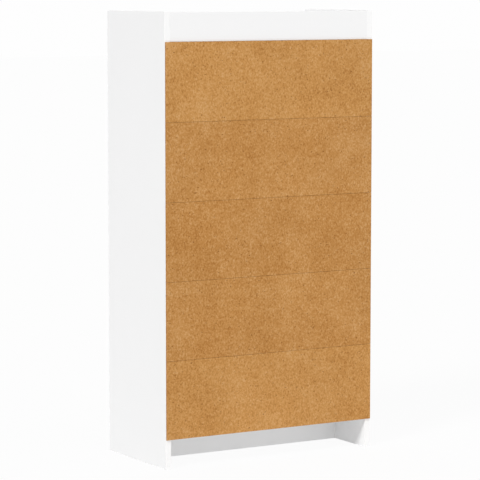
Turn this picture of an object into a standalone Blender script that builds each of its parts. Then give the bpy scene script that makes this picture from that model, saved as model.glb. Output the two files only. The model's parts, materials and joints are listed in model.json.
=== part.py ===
"""Free-standing shoe cabinet with an open tray on top and two inset doors.

Metres, +Z up.  The origin is the centre of the footprint on the floor, the
front faces -Y, and left and right are as seen from the front.  Board pieces
are white-faced chipboard, the back is a set of thin hardboard strips, and the
doors swing on pivot pins held in the top and bottom boards.
"""

import math

import bmesh
import bpy
from mathutils import Matrix, Vector

# ---- driving dimensions ---------------------------------------------------
WIDTH = 0.600  # outside of one side panel to the outside of the other
DEPTH = 0.300  # front edge of the side panels to the back of the hardboard
HEIGHT = 1.120  # floor to the top of the side panels
BOARD = 0.015  # chipboard thickness
EDGE_RADIUS = 0.0008  # rounding of every board edge
TOUCH = 0.0003  # gap left between pieces that touch

# ---- carcass --------------------------------------------------------------
BASE_HEIGHT = 0.073  # floor to the underside of the bottom board
TRAY_DEPTH = 0.073  # top of the side panels down to the tray surface
RAIL_DROP = 0.0015  # rail's top edge below the top of the side panels

# ---- hardboard back -------------------------------------------------------
BACK_THICKNESS = 0.003
BACK_STRIPS = 5  # one strip for each compartment
BACK_SEAM = 0.0006  # gap between two strips
BACK_INSET = 0.0008  # strip's end in from the outer face of the side panel

# ---- shelves and their pins -----------------------------------------------
SHELF_THICKNESS = 0.015
SHELF_SETBACK = 0.015  # front edge behind the back of the doors
SHELF_END_PLAY = 0.0005  # what the shelf can slide sideways between the pins' collars
PIN_RADIUS = 0.0025
PIN_DEPTH = 0.0085  # length of the pin inside the side panel
PIN_REACH = 0.008  # length of the pin that carries the shelf
PIN_COLLAR_LIP = 0.0011  # collar's radius beyond the pin's
PIN_COLLAR = 0.0012  # collar thickness, against the side panel
PIN_CHAMFER = 0.0005
PIN_INSET = 0.037  # pin's axis in from the shelf's front and rear edges
PIN_HOLE_STEP = 0.032  # pitch of the spare pin holes above and below
PIN_SIDES = 12

# ---- doors and their pivots -----------------------------------------------
DOOR_THICKNESS = 0.015
DOOR_GAP = 0.003  # beside, above, below and between the doors
SWING_CLEARANCE = 0.0005  # door's rear corner to the side panel as it swings
PIVOT_RADIUS = 0.0025
PIVOT_CHAMFER = 0.0006
PIVOT_IN_BOARD = 0.010  # length of the pin held in the board
PIVOT_IN_DOOR = 0.012  # length of the pin inside the door's bush
BUSH_WALL = 0.0014
BUSH_FLANGE = 0.0013  # flange's radius beyond the bush's, and the washer matches it
BUSH_LENGTH = 0.014  # length of the bush inside the door
PIVOT_SIDES = 20

# ---- knobs ----------------------------------------------------------------
KNOB_RADIUS = 0.013
KNOB_LENGTH = 0.024
KNOB_CUP_RADIUS = 0.011  # where the head's underside meets its rim
KNOB_RIM = 0.002  # rounding of the rim
KNOB_RIM_STEPS = 3
KNOB_STEM_RADIUS = 0.0065
KNOB_FOOT_RADIUS = 0.0085
KNOB_FOOT = 0.0015  # thickness of the foot's edge
KNOB_STEM = (0.005, 0.010)  # where the straight stem starts and ends
KNOB_HEAD = (0.015, 0.0173)  # where the head's underside and its widest band start
KNOB_INSET = 0.034  # knob's axis in from the door's free edge
KNOB_HEIGHT = 0.620  # above the floor
KNOB_SIDES = 32
SCREW_RADIUS = 0.002
SCREW_HEAD_RADIUS = 0.004
SCREW_HEAD = 0.0022
SCREW_CROWN = 0.0012  # rounding of the head's rim
SCREW_IN_KNOB = 0.010
SCREW_SIDES = 16

# ---- magnetic catch -------------------------------------------------------
CATCH_SIZE = (0.058, 0.016, 0.012)
CATCH_MAGNET = (0.018, 0.0012, 0.006)  # recess in front of each magnet
STRIKE_SIZE = (0.020, 0.0010, 0.011)
STRIKE_INSET = 0.004  # plate's edge in from the door's free edge

# ---- cam locks and dowels -------------------------------------------------
CAM_RADIUS = 0.0075
CAM_DEPTH = 0.0115
CAM_END = 0.024  # cam's axis in from the board's end
CAM_FRONT = 0.045  # cam's axis in from the board's front and rear edges
CAM_SLOT = (0.0085, 0.0018, 0.0020)  # length, width and depth of the cross
CAM_SIDES = 24
DOWEL_RADIUS = 0.004
DOWEL_IN_SIDE = 0.010
DOWEL_IN_BOARD = 0.018
DOWEL_CHAMFER = 0.0008
DOWEL_SIDES = 16

# ---- planes that several pieces share -------------------------------------
FRONT = -DEPTH / 2
BACK = DEPTH / 2
REAR = BACK - BACK_THICKNESS - TOUCH  # rear edges of the boards
INSIDE = WIDTH / 2 - BOARD  # inner face of the right side panel
MID_DEPTH = (FRONT + REAR) / 2
FLOOR_TOP = BASE_HEIGHT + BOARD  # upper face of the bottom board
TRAY_TOP = HEIGHT - TRAY_DEPTH  # upper face of the top board
CEILING = TRAY_TOP - BOARD  # lower face of the top board
DOOR_BACK = FRONT + DOOR_THICKNESS
SHELF_FRONT = DOOR_BACK + SHELF_SETBACK
SHELF_REAR = REAR - TOUCH
STRIP_PITCH = (TRAY_TOP - BASE_HEIGHT) / BACK_STRIPS
SHELF_HALF = INSIDE - PIN_COLLAR - 2 * TOUCH - SHELF_END_PLAY / 2
DOOR_WIDTH = (2 * INSIDE - 3 * DOOR_GAP) / 2
DOOR_LOW = FLOOR_TOP + DOOR_GAP
DOOR_HIGH = CEILING - DOOR_GAP
SWING_GAP = DOOR_GAP - SWING_CLEARANCE
PIVOT_INSET = ((DOOR_THICKNESS / 2) ** 2 - SWING_GAP**2) / (2 * SWING_GAP)  # axis in from the outer edge
PIVOT_X = INSIDE - DOOR_GAP - PIVOT_INSET
PIVOT_Y = FRONT + DOOR_THICKNESS / 2
PIVOT_DISC = (DOOR_GAP - 3 * TOUCH) / 2  # washer and bush flange share the gap
BUSH_BORE = PIVOT_RADIUS + TOUCH
BUSH_RADIUS = BUSH_BORE + BUSH_WALL
WASHER_RADIUS = BUSH_RADIUS + BUSH_FLANGE
SIDES = {"left": -1, "right": 1}

# ---- finishes: colour, roughness and metallic value -----------------------
FINISHES = {
    "white_board": ((0.90, 0.90, 0.91), 0.42, 0.0),
    "hardboard": ((0.52, 0.29, 0.11), 0.78, 0.0),
    "zinc": ((0.62, 0.63, 0.65), 0.34, 1.0),
    "steel": ((0.68, 0.68, 0.69), 0.28, 1.0),
    "nylon": ((0.80, 0.80, 0.78), 0.50, 0.0),
    "beech": ((0.66, 0.46, 0.27), 0.65, 0.0),
}


def clear_scene():
    """Remove everything that the file holds."""
    for obj in list(bpy.data.objects):
        bpy.data.objects.remove(obj, do_unlink=True)


def finish(name):
    """Return the material of that name, made on first use."""
    material = bpy.data.materials.get(name)
    if material is None:
        colour, roughness, metallic = FINISHES[name]
        material = bpy.data.materials.new(name)
        material.use_nodes = True
        shader = material.node_tree.nodes["Principled BSDF"]
        shader.inputs["Base Color"].default_value = (*colour, 1.0)
        shader.inputs["Roughness"].default_value = roughness
        shader.inputs["Metallic"].default_value = metallic
        material.diffuse_color = (*colour, 1.0)
    return material


def place(name, mesh, material, location=(0, 0, 0), rotation=(0, 0, 0), parent=None):
    """Put a mesh in the scene as one named piece."""
    obj = bpy.data.objects.new(name, mesh)
    bpy.context.scene.collection.objects.link(obj)
    if not mesh.materials:
        mesh.materials.append(finish(material))
    obj.location = location
    obj.rotation_euler = rotation
    obj.parent = parent
    return obj


# ---- shapes ---------------------------------------------------------------
def to_mesh(bm, name, smooth_angle=None):
    """Turn a bmesh into a mesh, shaded smooth up to an angle if one is given."""
    bmesh.ops.recalc_face_normals(bm, faces=bm.faces)
    mesh = bpy.data.meshes.new(name)
    bm.to_mesh(mesh)
    bm.free()
    if smooth_angle is not None:
        mesh.shade_smooth()
        mesh.set_sharp_from_angle(angle=math.radians(smooth_angle))
    return mesh


def add_block(bm, low, high):
    """Add an axis-aligned block between two corners."""
    low, high = Vector(low), Vector(high)
    middle = (low + high) / 2
    matrix = Matrix.Translation(middle) @ Matrix.Diagonal((*(high - low), 1.0))
    return bmesh.ops.create_cube(bm, size=1.0, matrix=matrix)["verts"]


def block(name, low, high, radius=0.0):
    """A block between two corners, with its edges rounded if a radius is given."""
    bm = bmesh.new()
    add_block(bm, low, high)
    if radius:
        bmesh.ops.bevel(bm, geom=bm.edges[:], offset=radius, segments=2, profile=0.5, affect="EDGES")
    return to_mesh(bm, name)


def add_rod(bm, start, end, radius, sides):
    """Add a round rod that runs from one point to another."""
    start, end = Vector(start), Vector(end)
    turn = (end - start).to_track_quat("Z", "Y").to_matrix().to_4x4()
    matrix = Matrix.Translation((start + end) / 2) @ turn
    bmesh.ops.create_cone(
        bm,
        cap_ends=True,
        segments=sides,
        radius1=radius,
        radius2=radius,
        depth=(end - start).length,
        matrix=matrix,
    )


def turned(name, profile, sides, smooth_angle=35):
    """A closed piece turned about Z from (radius, height) points.

    The profile runs along the outline of half the section.  It is closed where
    its two ends lie on the axis, and it is a ring where they don't.
    """
    bm = bmesh.new()
    verts = [bm.verts.new((radius, 0, height)) for radius, height in profile]
    edges = [bm.edges.new(pair) for pair in zip(verts, verts[1:])]
    if profile[0][0] > 0:
        edges.append(bm.edges.new((verts[-1], verts[0])))
    bmesh.ops.spin(
        bm,
        geom=verts + edges,
        axis=(0, 0, 1),
        cent=(0, 0, 0),
        angle=math.tau,
        steps=sides,
        use_merge=True,
    )
    bmesh.ops.remove_doubles(bm, verts=bm.verts, dist=1e-6)
    return to_mesh(bm, name, smooth_angle)


def carve(blank, bm_cutter):
    """Cut a bmesh of closed shapes out of a blank and return the new mesh."""
    body = bpy.data.objects.new("blank", blank)
    cutter = bpy.data.objects.new("cutter", to_mesh(bm_cutter, "cutter"))
    for obj in (body, cutter):
        bpy.context.scene.collection.objects.link(obj)
    boolean = body.modifiers.new("carve", "BOOLEAN")
    boolean.operation = "DIFFERENCE"
    boolean.solver = "EXACT"
    boolean.object = cutter
    depsgraph = bpy.context.evaluated_depsgraph_get()
    mesh = bpy.data.meshes.new_from_object(body.evaluated_get(depsgraph))
    mesh.name = blank.name
    mesh.materials.clear()
    for obj in (body, cutter):
        bpy.data.objects.remove(obj, do_unlink=True)
    return mesh


# ---- places that pieces share ---------------------------------------------
def shelf_bottoms():
    """Heights of the shelves' lower faces, each shelf centred on a back seam."""
    seams = [BASE_HEIGHT + STRIP_PITCH * n for n in range(1, BACK_STRIPS)]
    return [seam - SHELF_THICKNESS / 2 for seam in seams]


def pin_height(shelf_bottom):
    """Height of the axis of the pins that carry a shelf."""
    return shelf_bottom - TOUCH - PIN_RADIUS


def pin_depths():
    """Y of the front and the rear row of shelf pins."""
    return {"front": SHELF_FRONT + PIN_INSET, "rear": SHELF_REAR - PIN_INSET}


def cam_depths():
    """Y of the front and the rear cam locks."""
    return {"front": DOOR_BACK + CAM_FRONT, "rear": REAR - CAM_FRONT}


def cam_x():
    """X of the right-hand cam locks."""
    return INSIDE - TOUCH - CAM_END


def rail_middle():
    """Depth and height of the middle of the rear rail."""
    return REAR - BOARD / 2, (TRAY_TOP + HEIGHT - RAIL_DROP) / 2


def dowel_places():
    """Depth and height of the dowels in the rear rail and in the kick board."""
    return {"rail": rail_middle(), "kick": (MID_DEPTH, BASE_HEIGHT / 2)}


# ---- carcass --------------------------------------------------------------
def make_side_panels():
    """Two side panels, bored on their inner faces for shelf pins and dowels."""
    inner = INSIDE - TOUCH
    for side, sign in SIDES.items():
        name = f"side_panel_{side}"
        low = (min(sign * INSIDE, sign * WIDTH / 2), FRONT, 0)
        blank = block(name, low, (low[0] + BOARD, REAR, HEIGHT), EDGE_RADIUS)
        bm = bmesh.new()
        for bottom in shelf_bottoms():
            for step in (-1, 0, 1):
                height = pin_height(bottom) + step * PIN_HOLE_STEP
                for depth in pin_depths().values():
                    start = Vector((sign * inner, depth, height))
                    end = start + Vector((sign * (PIN_DEPTH + 2 * TOUCH), 0, 0))
                    add_rod(bm, start, end, PIN_RADIUS + TOUCH, PIN_SIDES)
        for depth, height in dowel_places().values():
            start = Vector((sign * inner, depth, height))
            end = start + Vector((sign * (DOWEL_IN_SIDE + 2 * TOUCH), 0, 0))
            add_rod(bm, start, end, DOWEL_RADIUS + TOUCH, DOWEL_SIDES)
        place(name, carve(blank, bm), "white_board")


def level_board(name, low, pivot_face):
    """A full-depth board between the sides, bored for its cams and door pivots."""
    half = INSIDE - TOUCH
    blank = block(name, (-half, FRONT, low), (half, REAR, low + BOARD), EDGE_RADIUS)
    bm = bmesh.new()
    for sign in SIDES.values():
        for depth in cam_depths().values():
            start = (sign * cam_x(), depth, low - TOUCH)
            end = (sign * cam_x(), depth, low + CAM_DEPTH + 2 * TOUCH)
            add_rod(bm, start, end, CAM_RADIUS + TOUCH, CAM_SIDES)
        inwards = 1 if pivot_face == low else -1
        start = (sign * PIVOT_X, PIVOT_Y, pivot_face - inwards * TOUCH)
        end = (sign * PIVOT_X, PIVOT_Y, pivot_face + inwards * (PIVOT_IN_BOARD + TOUCH))
        add_rod(bm, start, end, PIVOT_RADIUS + TOUCH, PIVOT_SIDES)
    place(name, carve(blank, bm), "white_board")


def cross_board(name, depth, low, high, dowel_height):
    """An upright board between the sides with a dowel hole in each end."""
    half = INSIDE - TOUCH
    blank = block(name, (-half, depth - BOARD / 2, low), (half, depth + BOARD / 2, high), EDGE_RADIUS)
    bm = bmesh.new()
    for sign in SIDES.values():
        start = Vector((sign * (half + TOUCH), depth, dowel_height))
        end = start - Vector((sign * (DOWEL_IN_BOARD + 3 * TOUCH), 0, 0))
        add_rod(bm, start, end, DOWEL_RADIUS + TOUCH, DOWEL_SIDES)
    place(name, carve(blank, bm), "white_board")


def make_dowels():
    """Beech dowels that join the rear rail and the kick board to the sides."""
    length = DOWEL_IN_SIDE + DOWEL_IN_BOARD
    tip = DOWEL_RADIUS - DOWEL_CHAMFER
    profile = [
        (0, 0),
        (tip, 0),
        (DOWEL_RADIUS, DOWEL_CHAMFER),
        (DOWEL_RADIUS, length - DOWEL_CHAMFER),
        (tip, length),
        (0, length),
    ]
    mesh = turned("dowel", profile, DOWEL_SIDES)
    for board, (depth, height) in dowel_places().items():
        for side, sign in SIDES.items():
            inner_end = (sign * (INSIDE - DOWEL_IN_BOARD), depth, height)
            place(f"{board}_dowel_{side}", mesh, "beech", inner_end, (0, sign * math.pi / 2, 0))


def make_back():
    """Hardboard strips that close the back, one above the other."""
    half = WIDTH / 2 - BACK_INSET
    for number in range(BACK_STRIPS):
        low = BASE_HEIGHT + STRIP_PITCH * number
        high = low + STRIP_PITCH
        low += TOUCH if number == 0 else BACK_SEAM / 2
        high -= TOUCH if number == BACK_STRIPS - 1 else BACK_SEAM / 2
        name = f"back_strip_{number + 1}"
        place(name, block(name, (-half, BACK - BACK_THICKNESS, low), (half, BACK, high)), "hardboard")


# ---- shelves --------------------------------------------------------------
def make_shelves():
    """Loose shelves, each carried by four collared pins."""
    for number, bottom in enumerate(shelf_bottoms(), start=1):
        low = (-SHELF_HALF, SHELF_FRONT, bottom)
        high = (SHELF_HALF, SHELF_REAR, bottom + SHELF_THICKNESS)
        place(f"shelf_{number}", block(f"shelf_{number}", low, high, EDGE_RADIUS), "white_board")

    collar = PIN_DEPTH + TOUCH
    collar_radius = PIN_RADIUS + PIN_COLLAR_LIP
    end = PIN_DEPTH + PIN_REACH
    profile = [
        (0, 0),
        (PIN_RADIUS - PIN_CHAMFER, 0),
        (PIN_RADIUS, PIN_CHAMFER),
        (PIN_RADIUS, collar),
        (collar_radius, collar),
        (collar_radius, collar + PIN_COLLAR),
        (PIN_RADIUS, collar + PIN_COLLAR),
        (PIN_RADIUS, end - PIN_CHAMFER),
        (PIN_RADIUS - PIN_CHAMFER, end),
        (0, end),
    ]
    mesh = turned("shelf_pin", profile, PIN_SIDES)
    for number, bottom in enumerate(shelf_bottoms(), start=1):
        for side, sign in SIDES.items():
            for row, depth in pin_depths().items():
                seat = (sign * (INSIDE + PIN_DEPTH), depth, pin_height(bottom))
                place(f"shelf_{number}_pin_{side}_{row}", mesh, "zinc", seat, (0, -sign * math.pi / 2, 0))


# ---- cam locks ------------------------------------------------------------
def make_cams():
    """Cam locks sunk in the undersides of the top and bottom boards."""
    bm = bmesh.new()
    add_rod(bm, (0, 0, 0), (0, 0, CAM_DEPTH), CAM_RADIUS, CAM_SIDES)
    mesh = to_mesh(bm, "cam_lock")
    length, width, depth = CAM_SLOT
    for x, y in ((length / 2, width / 2), (width / 2, length / 2)):
        slot = bmesh.new()
        add_block(slot, (-x, -y, -depth), (x, y, depth))
        mesh = carve(mesh, slot)
    mesh.shade_smooth()
    mesh.set_sharp_from_angle(angle=math.radians(35))
    for level, low in (("top", CEILING), ("bottom", BASE_HEIGHT)):
        for side, sign in SIDES.items():
            for row, y in cam_depths().items():
                place(f"cam_{level}_{side}_{row}", mesh, "zinc", (sign * cam_x(), y, low + TOUCH))


# ---- doors ----------------------------------------------------------------
def make_pivot_pins():
    """Pins with a washer, fixed in the bottom board and in the top board."""
    length = PIVOT_IN_BOARD + DOOR_GAP + PIVOT_IN_DOOR
    washer = PIVOT_IN_BOARD + TOUCH
    profile = [
        (0, 0),
        (PIVOT_RADIUS, 0),
        (PIVOT_RADIUS, washer),
        (WASHER_RADIUS, washer),
        (WASHER_RADIUS, washer + PIVOT_DISC),
        (PIVOT_RADIUS, washer + PIVOT_DISC),
        (PIVOT_RADIUS, length - PIVOT_CHAMFER),
        (PIVOT_RADIUS - PIVOT_CHAMFER, length),
        (0, length),
    ]
    mesh = turned("pivot_pin", profile, PIVOT_SIDES)
    for side, sign in SIDES.items():
        x = sign * PIVOT_X
        place(f"pivot_pin_{side}_bottom", mesh, "steel", (x, PIVOT_Y, FLOOR_TOP - PIVOT_IN_BOARD))
        hanging = (x, PIVOT_Y, CEILING + PIVOT_IN_BOARD)
        place(f"pivot_pin_{side}_top", mesh, "steel", hanging, (math.pi, 0, 0))


def make_bushes(hinges):
    """Flanged nylon bushes in the ends of the doors."""
    profile = [
        (BUSH_BORE, -PIVOT_DISC),
        (WASHER_RADIUS, -PIVOT_DISC),
        (WASHER_RADIUS, 0),
        (BUSH_RADIUS, 0),
        (BUSH_RADIUS, BUSH_LENGTH),
        (BUSH_BORE, BUSH_LENGTH),
    ]
    mesh = turned("bush", profile, PIVOT_SIDES)
    for side, hinge in hinges.items():
        place(f"bush_{side}_bottom", mesh, "nylon", (0, 0, DOOR_LOW - TOUCH), parent=hinge)
        place(f"bush_{side}_top", mesh, "nylon", (0, 0, DOOR_HIGH + TOUCH), (math.pi, 0, 0), parent=hinge)


def make_hinges():
    """One empty on each door's pivot axis, which the door's pieces hang from."""
    hinges = {}
    for side, sign in SIDES.items():
        hinge = bpy.data.objects.new(f"hinge_{side}", None)
        bpy.context.scene.collection.objects.link(hinge)
        hinge.location = (sign * PIVOT_X, PIVOT_Y, 0)
        hinges[side] = hinge
    return hinges


def knob_place(sign):
    """Knob's axis, measured across from the hinge axis."""
    return -sign * (DOOR_WIDTH - PIVOT_INSET - KNOB_INSET)


def make_doors(hinges):
    """Door panels, bored for their bushes and for the knob's screw."""
    for side, sign in SIDES.items():
        outer = sign * PIVOT_INSET
        free = outer - sign * DOOR_WIDTH
        half = DOOR_THICKNESS / 2
        blank = block(f"door_{side}", (free, -half, DOOR_LOW), (outer, half, DOOR_HIGH), EDGE_RADIUS)
        bm = bmesh.new()
        for end, inwards in ((DOOR_LOW, 1), (DOOR_HIGH, -1)):
            start = (0, 0, end - inwards * TOUCH)
            finish_at = (0, 0, end + inwards * BUSH_LENGTH)
            add_rod(bm, start, finish_at, BUSH_RADIUS + TOUCH, PIVOT_SIDES)
        front = (knob_place(sign), -half - TOUCH, KNOB_HEIGHT)
        rear = (knob_place(sign), half + TOUCH, KNOB_HEIGHT)
        add_rod(bm, front, rear, SCREW_RADIUS + TOUCH, SCREW_SIDES)
        place(f"door_{side}", carve(blank, bm), "white_board", parent=hinges[side])


def knob_profile():
    """Half-section of a knob from its bored foot to its crowned face."""
    bore = SCREW_RADIUS + TOUCH
    points = [
        (0, SCREW_IN_KNOB + TOUCH),
        (bore, SCREW_IN_KNOB + TOUCH),
        (bore, 0),
        (KNOB_FOOT_RADIUS, 0),
        (KNOB_FOOT_RADIUS, KNOB_FOOT),
        (KNOB_STEM_RADIUS, KNOB_STEM[0]),
        (KNOB_STEM_RADIUS, KNOB_STEM[1]),
        (KNOB_CUP_RADIUS, KNOB_HEAD[0]),
        (KNOB_RADIUS, KNOB_HEAD[1]),
    ]
    centre = (KNOB_RADIUS - KNOB_RIM, KNOB_LENGTH - KNOB_RIM)
    for step in range(KNOB_RIM_STEPS + 1):
        turn = math.pi / 2 * step / KNOB_RIM_STEPS
        points.append((centre[0] + KNOB_RIM * math.cos(turn), centre[1] + KNOB_RIM * math.sin(turn)))
    points.append((0, KNOB_LENGTH))
    return points


def make_knobs(hinges):
    """A knob on the front of each door, held by a screw from the back."""
    half = DOOR_THICKNESS / 2
    knob = turned("knob", knob_profile(), KNOB_SIDES)
    shank = DOOR_THICKNESS + 2 * TOUCH + SCREW_IN_KNOB - TOUCH
    head = [
        (0, -SCREW_HEAD),
        (SCREW_HEAD_RADIUS - SCREW_CROWN, -SCREW_HEAD),
        (SCREW_HEAD_RADIUS, SCREW_CROWN - SCREW_HEAD),
        (SCREW_HEAD_RADIUS, 0),
        (SCREW_RADIUS, 0),
        (SCREW_RADIUS, shank),
        (0, shank),
    ]
    screw = turned("knob_screw", head, SCREW_SIDES)
    for side, sign in SIDES.items():
        front = (knob_place(sign), -half - TOUCH, KNOB_HEIGHT)
        rear = (knob_place(sign), half + TOUCH, KNOB_HEIGHT)
        place(f"knob_{side}", knob, "steel", front, (math.pi / 2, 0, 0), parent=hinges[side])
        place(f"knob_screw_{side}", screw, "zinc", rear, (math.pi / 2, 0, 0), parent=hinges[side])


# ---- magnetic catch -------------------------------------------------------
def strike_x(sign):
    """Middle of a strike plate across the cabinet."""
    return sign * (DOOR_GAP / 2 + STRIKE_INSET + STRIKE_SIZE[0] / 2)


def strike_height():
    """Height of the middle of the strike plates and of the magnets."""
    return CEILING - TOUCH - CATCH_SIZE[2] / 2


def make_catch(hinges):
    """A double catch under the top board and a strike plate on each door."""
    width, depth, height = CATCH_SIZE
    front = DOOR_BACK + 2 * TOUCH + STRIKE_SIZE[1]
    top = CEILING - TOUCH
    low, high = (-width / 2, front, top - height), (width / 2, front + depth, top)
    blank = block("catch_body", low, high, EDGE_RADIUS)
    magnet_width, recess, magnet_height = CATCH_MAGNET
    bm = bmesh.new()
    for sign in SIDES.values():
        low = (strike_x(sign) - magnet_width / 2, front - recess, strike_height() - magnet_height / 2)
        high = (strike_x(sign) + magnet_width / 2, front + recess, strike_height() + magnet_height / 2)
        add_block(bm, low, high)
    place("catch_body", carve(blank, bm), "nylon")

    plate_width, thickness, plate_height = STRIKE_SIZE
    for side, sign in SIDES.items():
        middle = Vector((strike_x(sign), DOOR_BACK + TOUCH + thickness / 2, strike_height()))
        half = Vector((plate_width / 2, thickness / 2, plate_height / 2))
        hinge = hinges[side]
        local = middle - hinge.location
        mesh = block(f"strike_plate_{side}", local - half, local + half)
        place(f"strike_plate_{side}", mesh, "zinc", parent=hinge)


def main():
    """Build the cabinet, from the carcass to the catch."""
    clear_scene()
    rail_depth, rail_height = rail_middle()
    make_side_panels()
    level_board("bottom_board", BASE_HEIGHT, FLOOR_TOP)
    level_board("top_board", CEILING, CEILING)
    cross_board("rear_rail", rail_depth, TRAY_TOP + TOUCH, HEIGHT - RAIL_DROP, rail_height)
    cross_board("kick_board", MID_DEPTH, 0, BASE_HEIGHT - TOUCH, BASE_HEIGHT / 2)
    make_dowels()
    make_back()
    make_shelves()
    make_cams()
    make_pivot_pins()
    hinges = make_hinges()
    make_doors(hinges)
    make_bushes(hinges)
    make_knobs(hinges)
    make_catch(hinges)
    bpy.context.view_layer.update()


main()
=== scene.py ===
"""Looks of a tall white shoe cabinet with a brown hardboard back.

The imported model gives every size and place.  The boards, the back, the
fittings and the doors are built here again with their real edges, bores and
finishes, and each piece takes the place of the node that it stands for.
Metres, +Z up, the doors face -Y.
"""

from __future__ import annotations

import json
import logging
import math
from dataclasses import dataclass, field
from enum import Enum
from functools import cached_property

import bmesh
import bpy
from mathutils import Matrix, Vector

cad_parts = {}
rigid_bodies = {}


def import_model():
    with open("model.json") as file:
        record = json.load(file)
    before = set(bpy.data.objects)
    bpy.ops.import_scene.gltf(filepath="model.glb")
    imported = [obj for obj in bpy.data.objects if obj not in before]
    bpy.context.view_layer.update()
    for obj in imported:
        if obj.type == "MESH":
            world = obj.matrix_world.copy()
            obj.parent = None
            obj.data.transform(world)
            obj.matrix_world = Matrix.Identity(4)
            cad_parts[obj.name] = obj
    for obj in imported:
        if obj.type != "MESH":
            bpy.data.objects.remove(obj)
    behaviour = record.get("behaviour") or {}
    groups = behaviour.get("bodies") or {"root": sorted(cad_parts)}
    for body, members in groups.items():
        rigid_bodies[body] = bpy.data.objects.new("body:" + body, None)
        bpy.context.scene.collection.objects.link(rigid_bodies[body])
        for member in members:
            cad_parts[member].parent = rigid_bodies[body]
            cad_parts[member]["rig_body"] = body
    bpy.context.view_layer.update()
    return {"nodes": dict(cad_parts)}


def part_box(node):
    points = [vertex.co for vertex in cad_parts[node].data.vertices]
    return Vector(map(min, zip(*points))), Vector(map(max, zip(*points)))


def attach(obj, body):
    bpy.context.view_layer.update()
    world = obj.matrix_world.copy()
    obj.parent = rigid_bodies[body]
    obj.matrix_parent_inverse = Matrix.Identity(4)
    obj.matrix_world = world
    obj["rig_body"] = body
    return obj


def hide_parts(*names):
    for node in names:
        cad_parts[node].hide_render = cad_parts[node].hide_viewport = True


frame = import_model()

LOG = logging.getLogger("shoe_cabinet")
Colour = tuple[float, float, float]
Point = tuple[float, float, float]
Pair = tuple[float, float]
Socket = bpy.types.NodeSocket
Reading = Socket | float
Tint = Socket | tuple[float, ...]
WHITE = (1.0, 1.0, 1.0, 1.0)
SIDES = {"left": -1, "right": 1}
ROWS = ("front", "rear")


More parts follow.
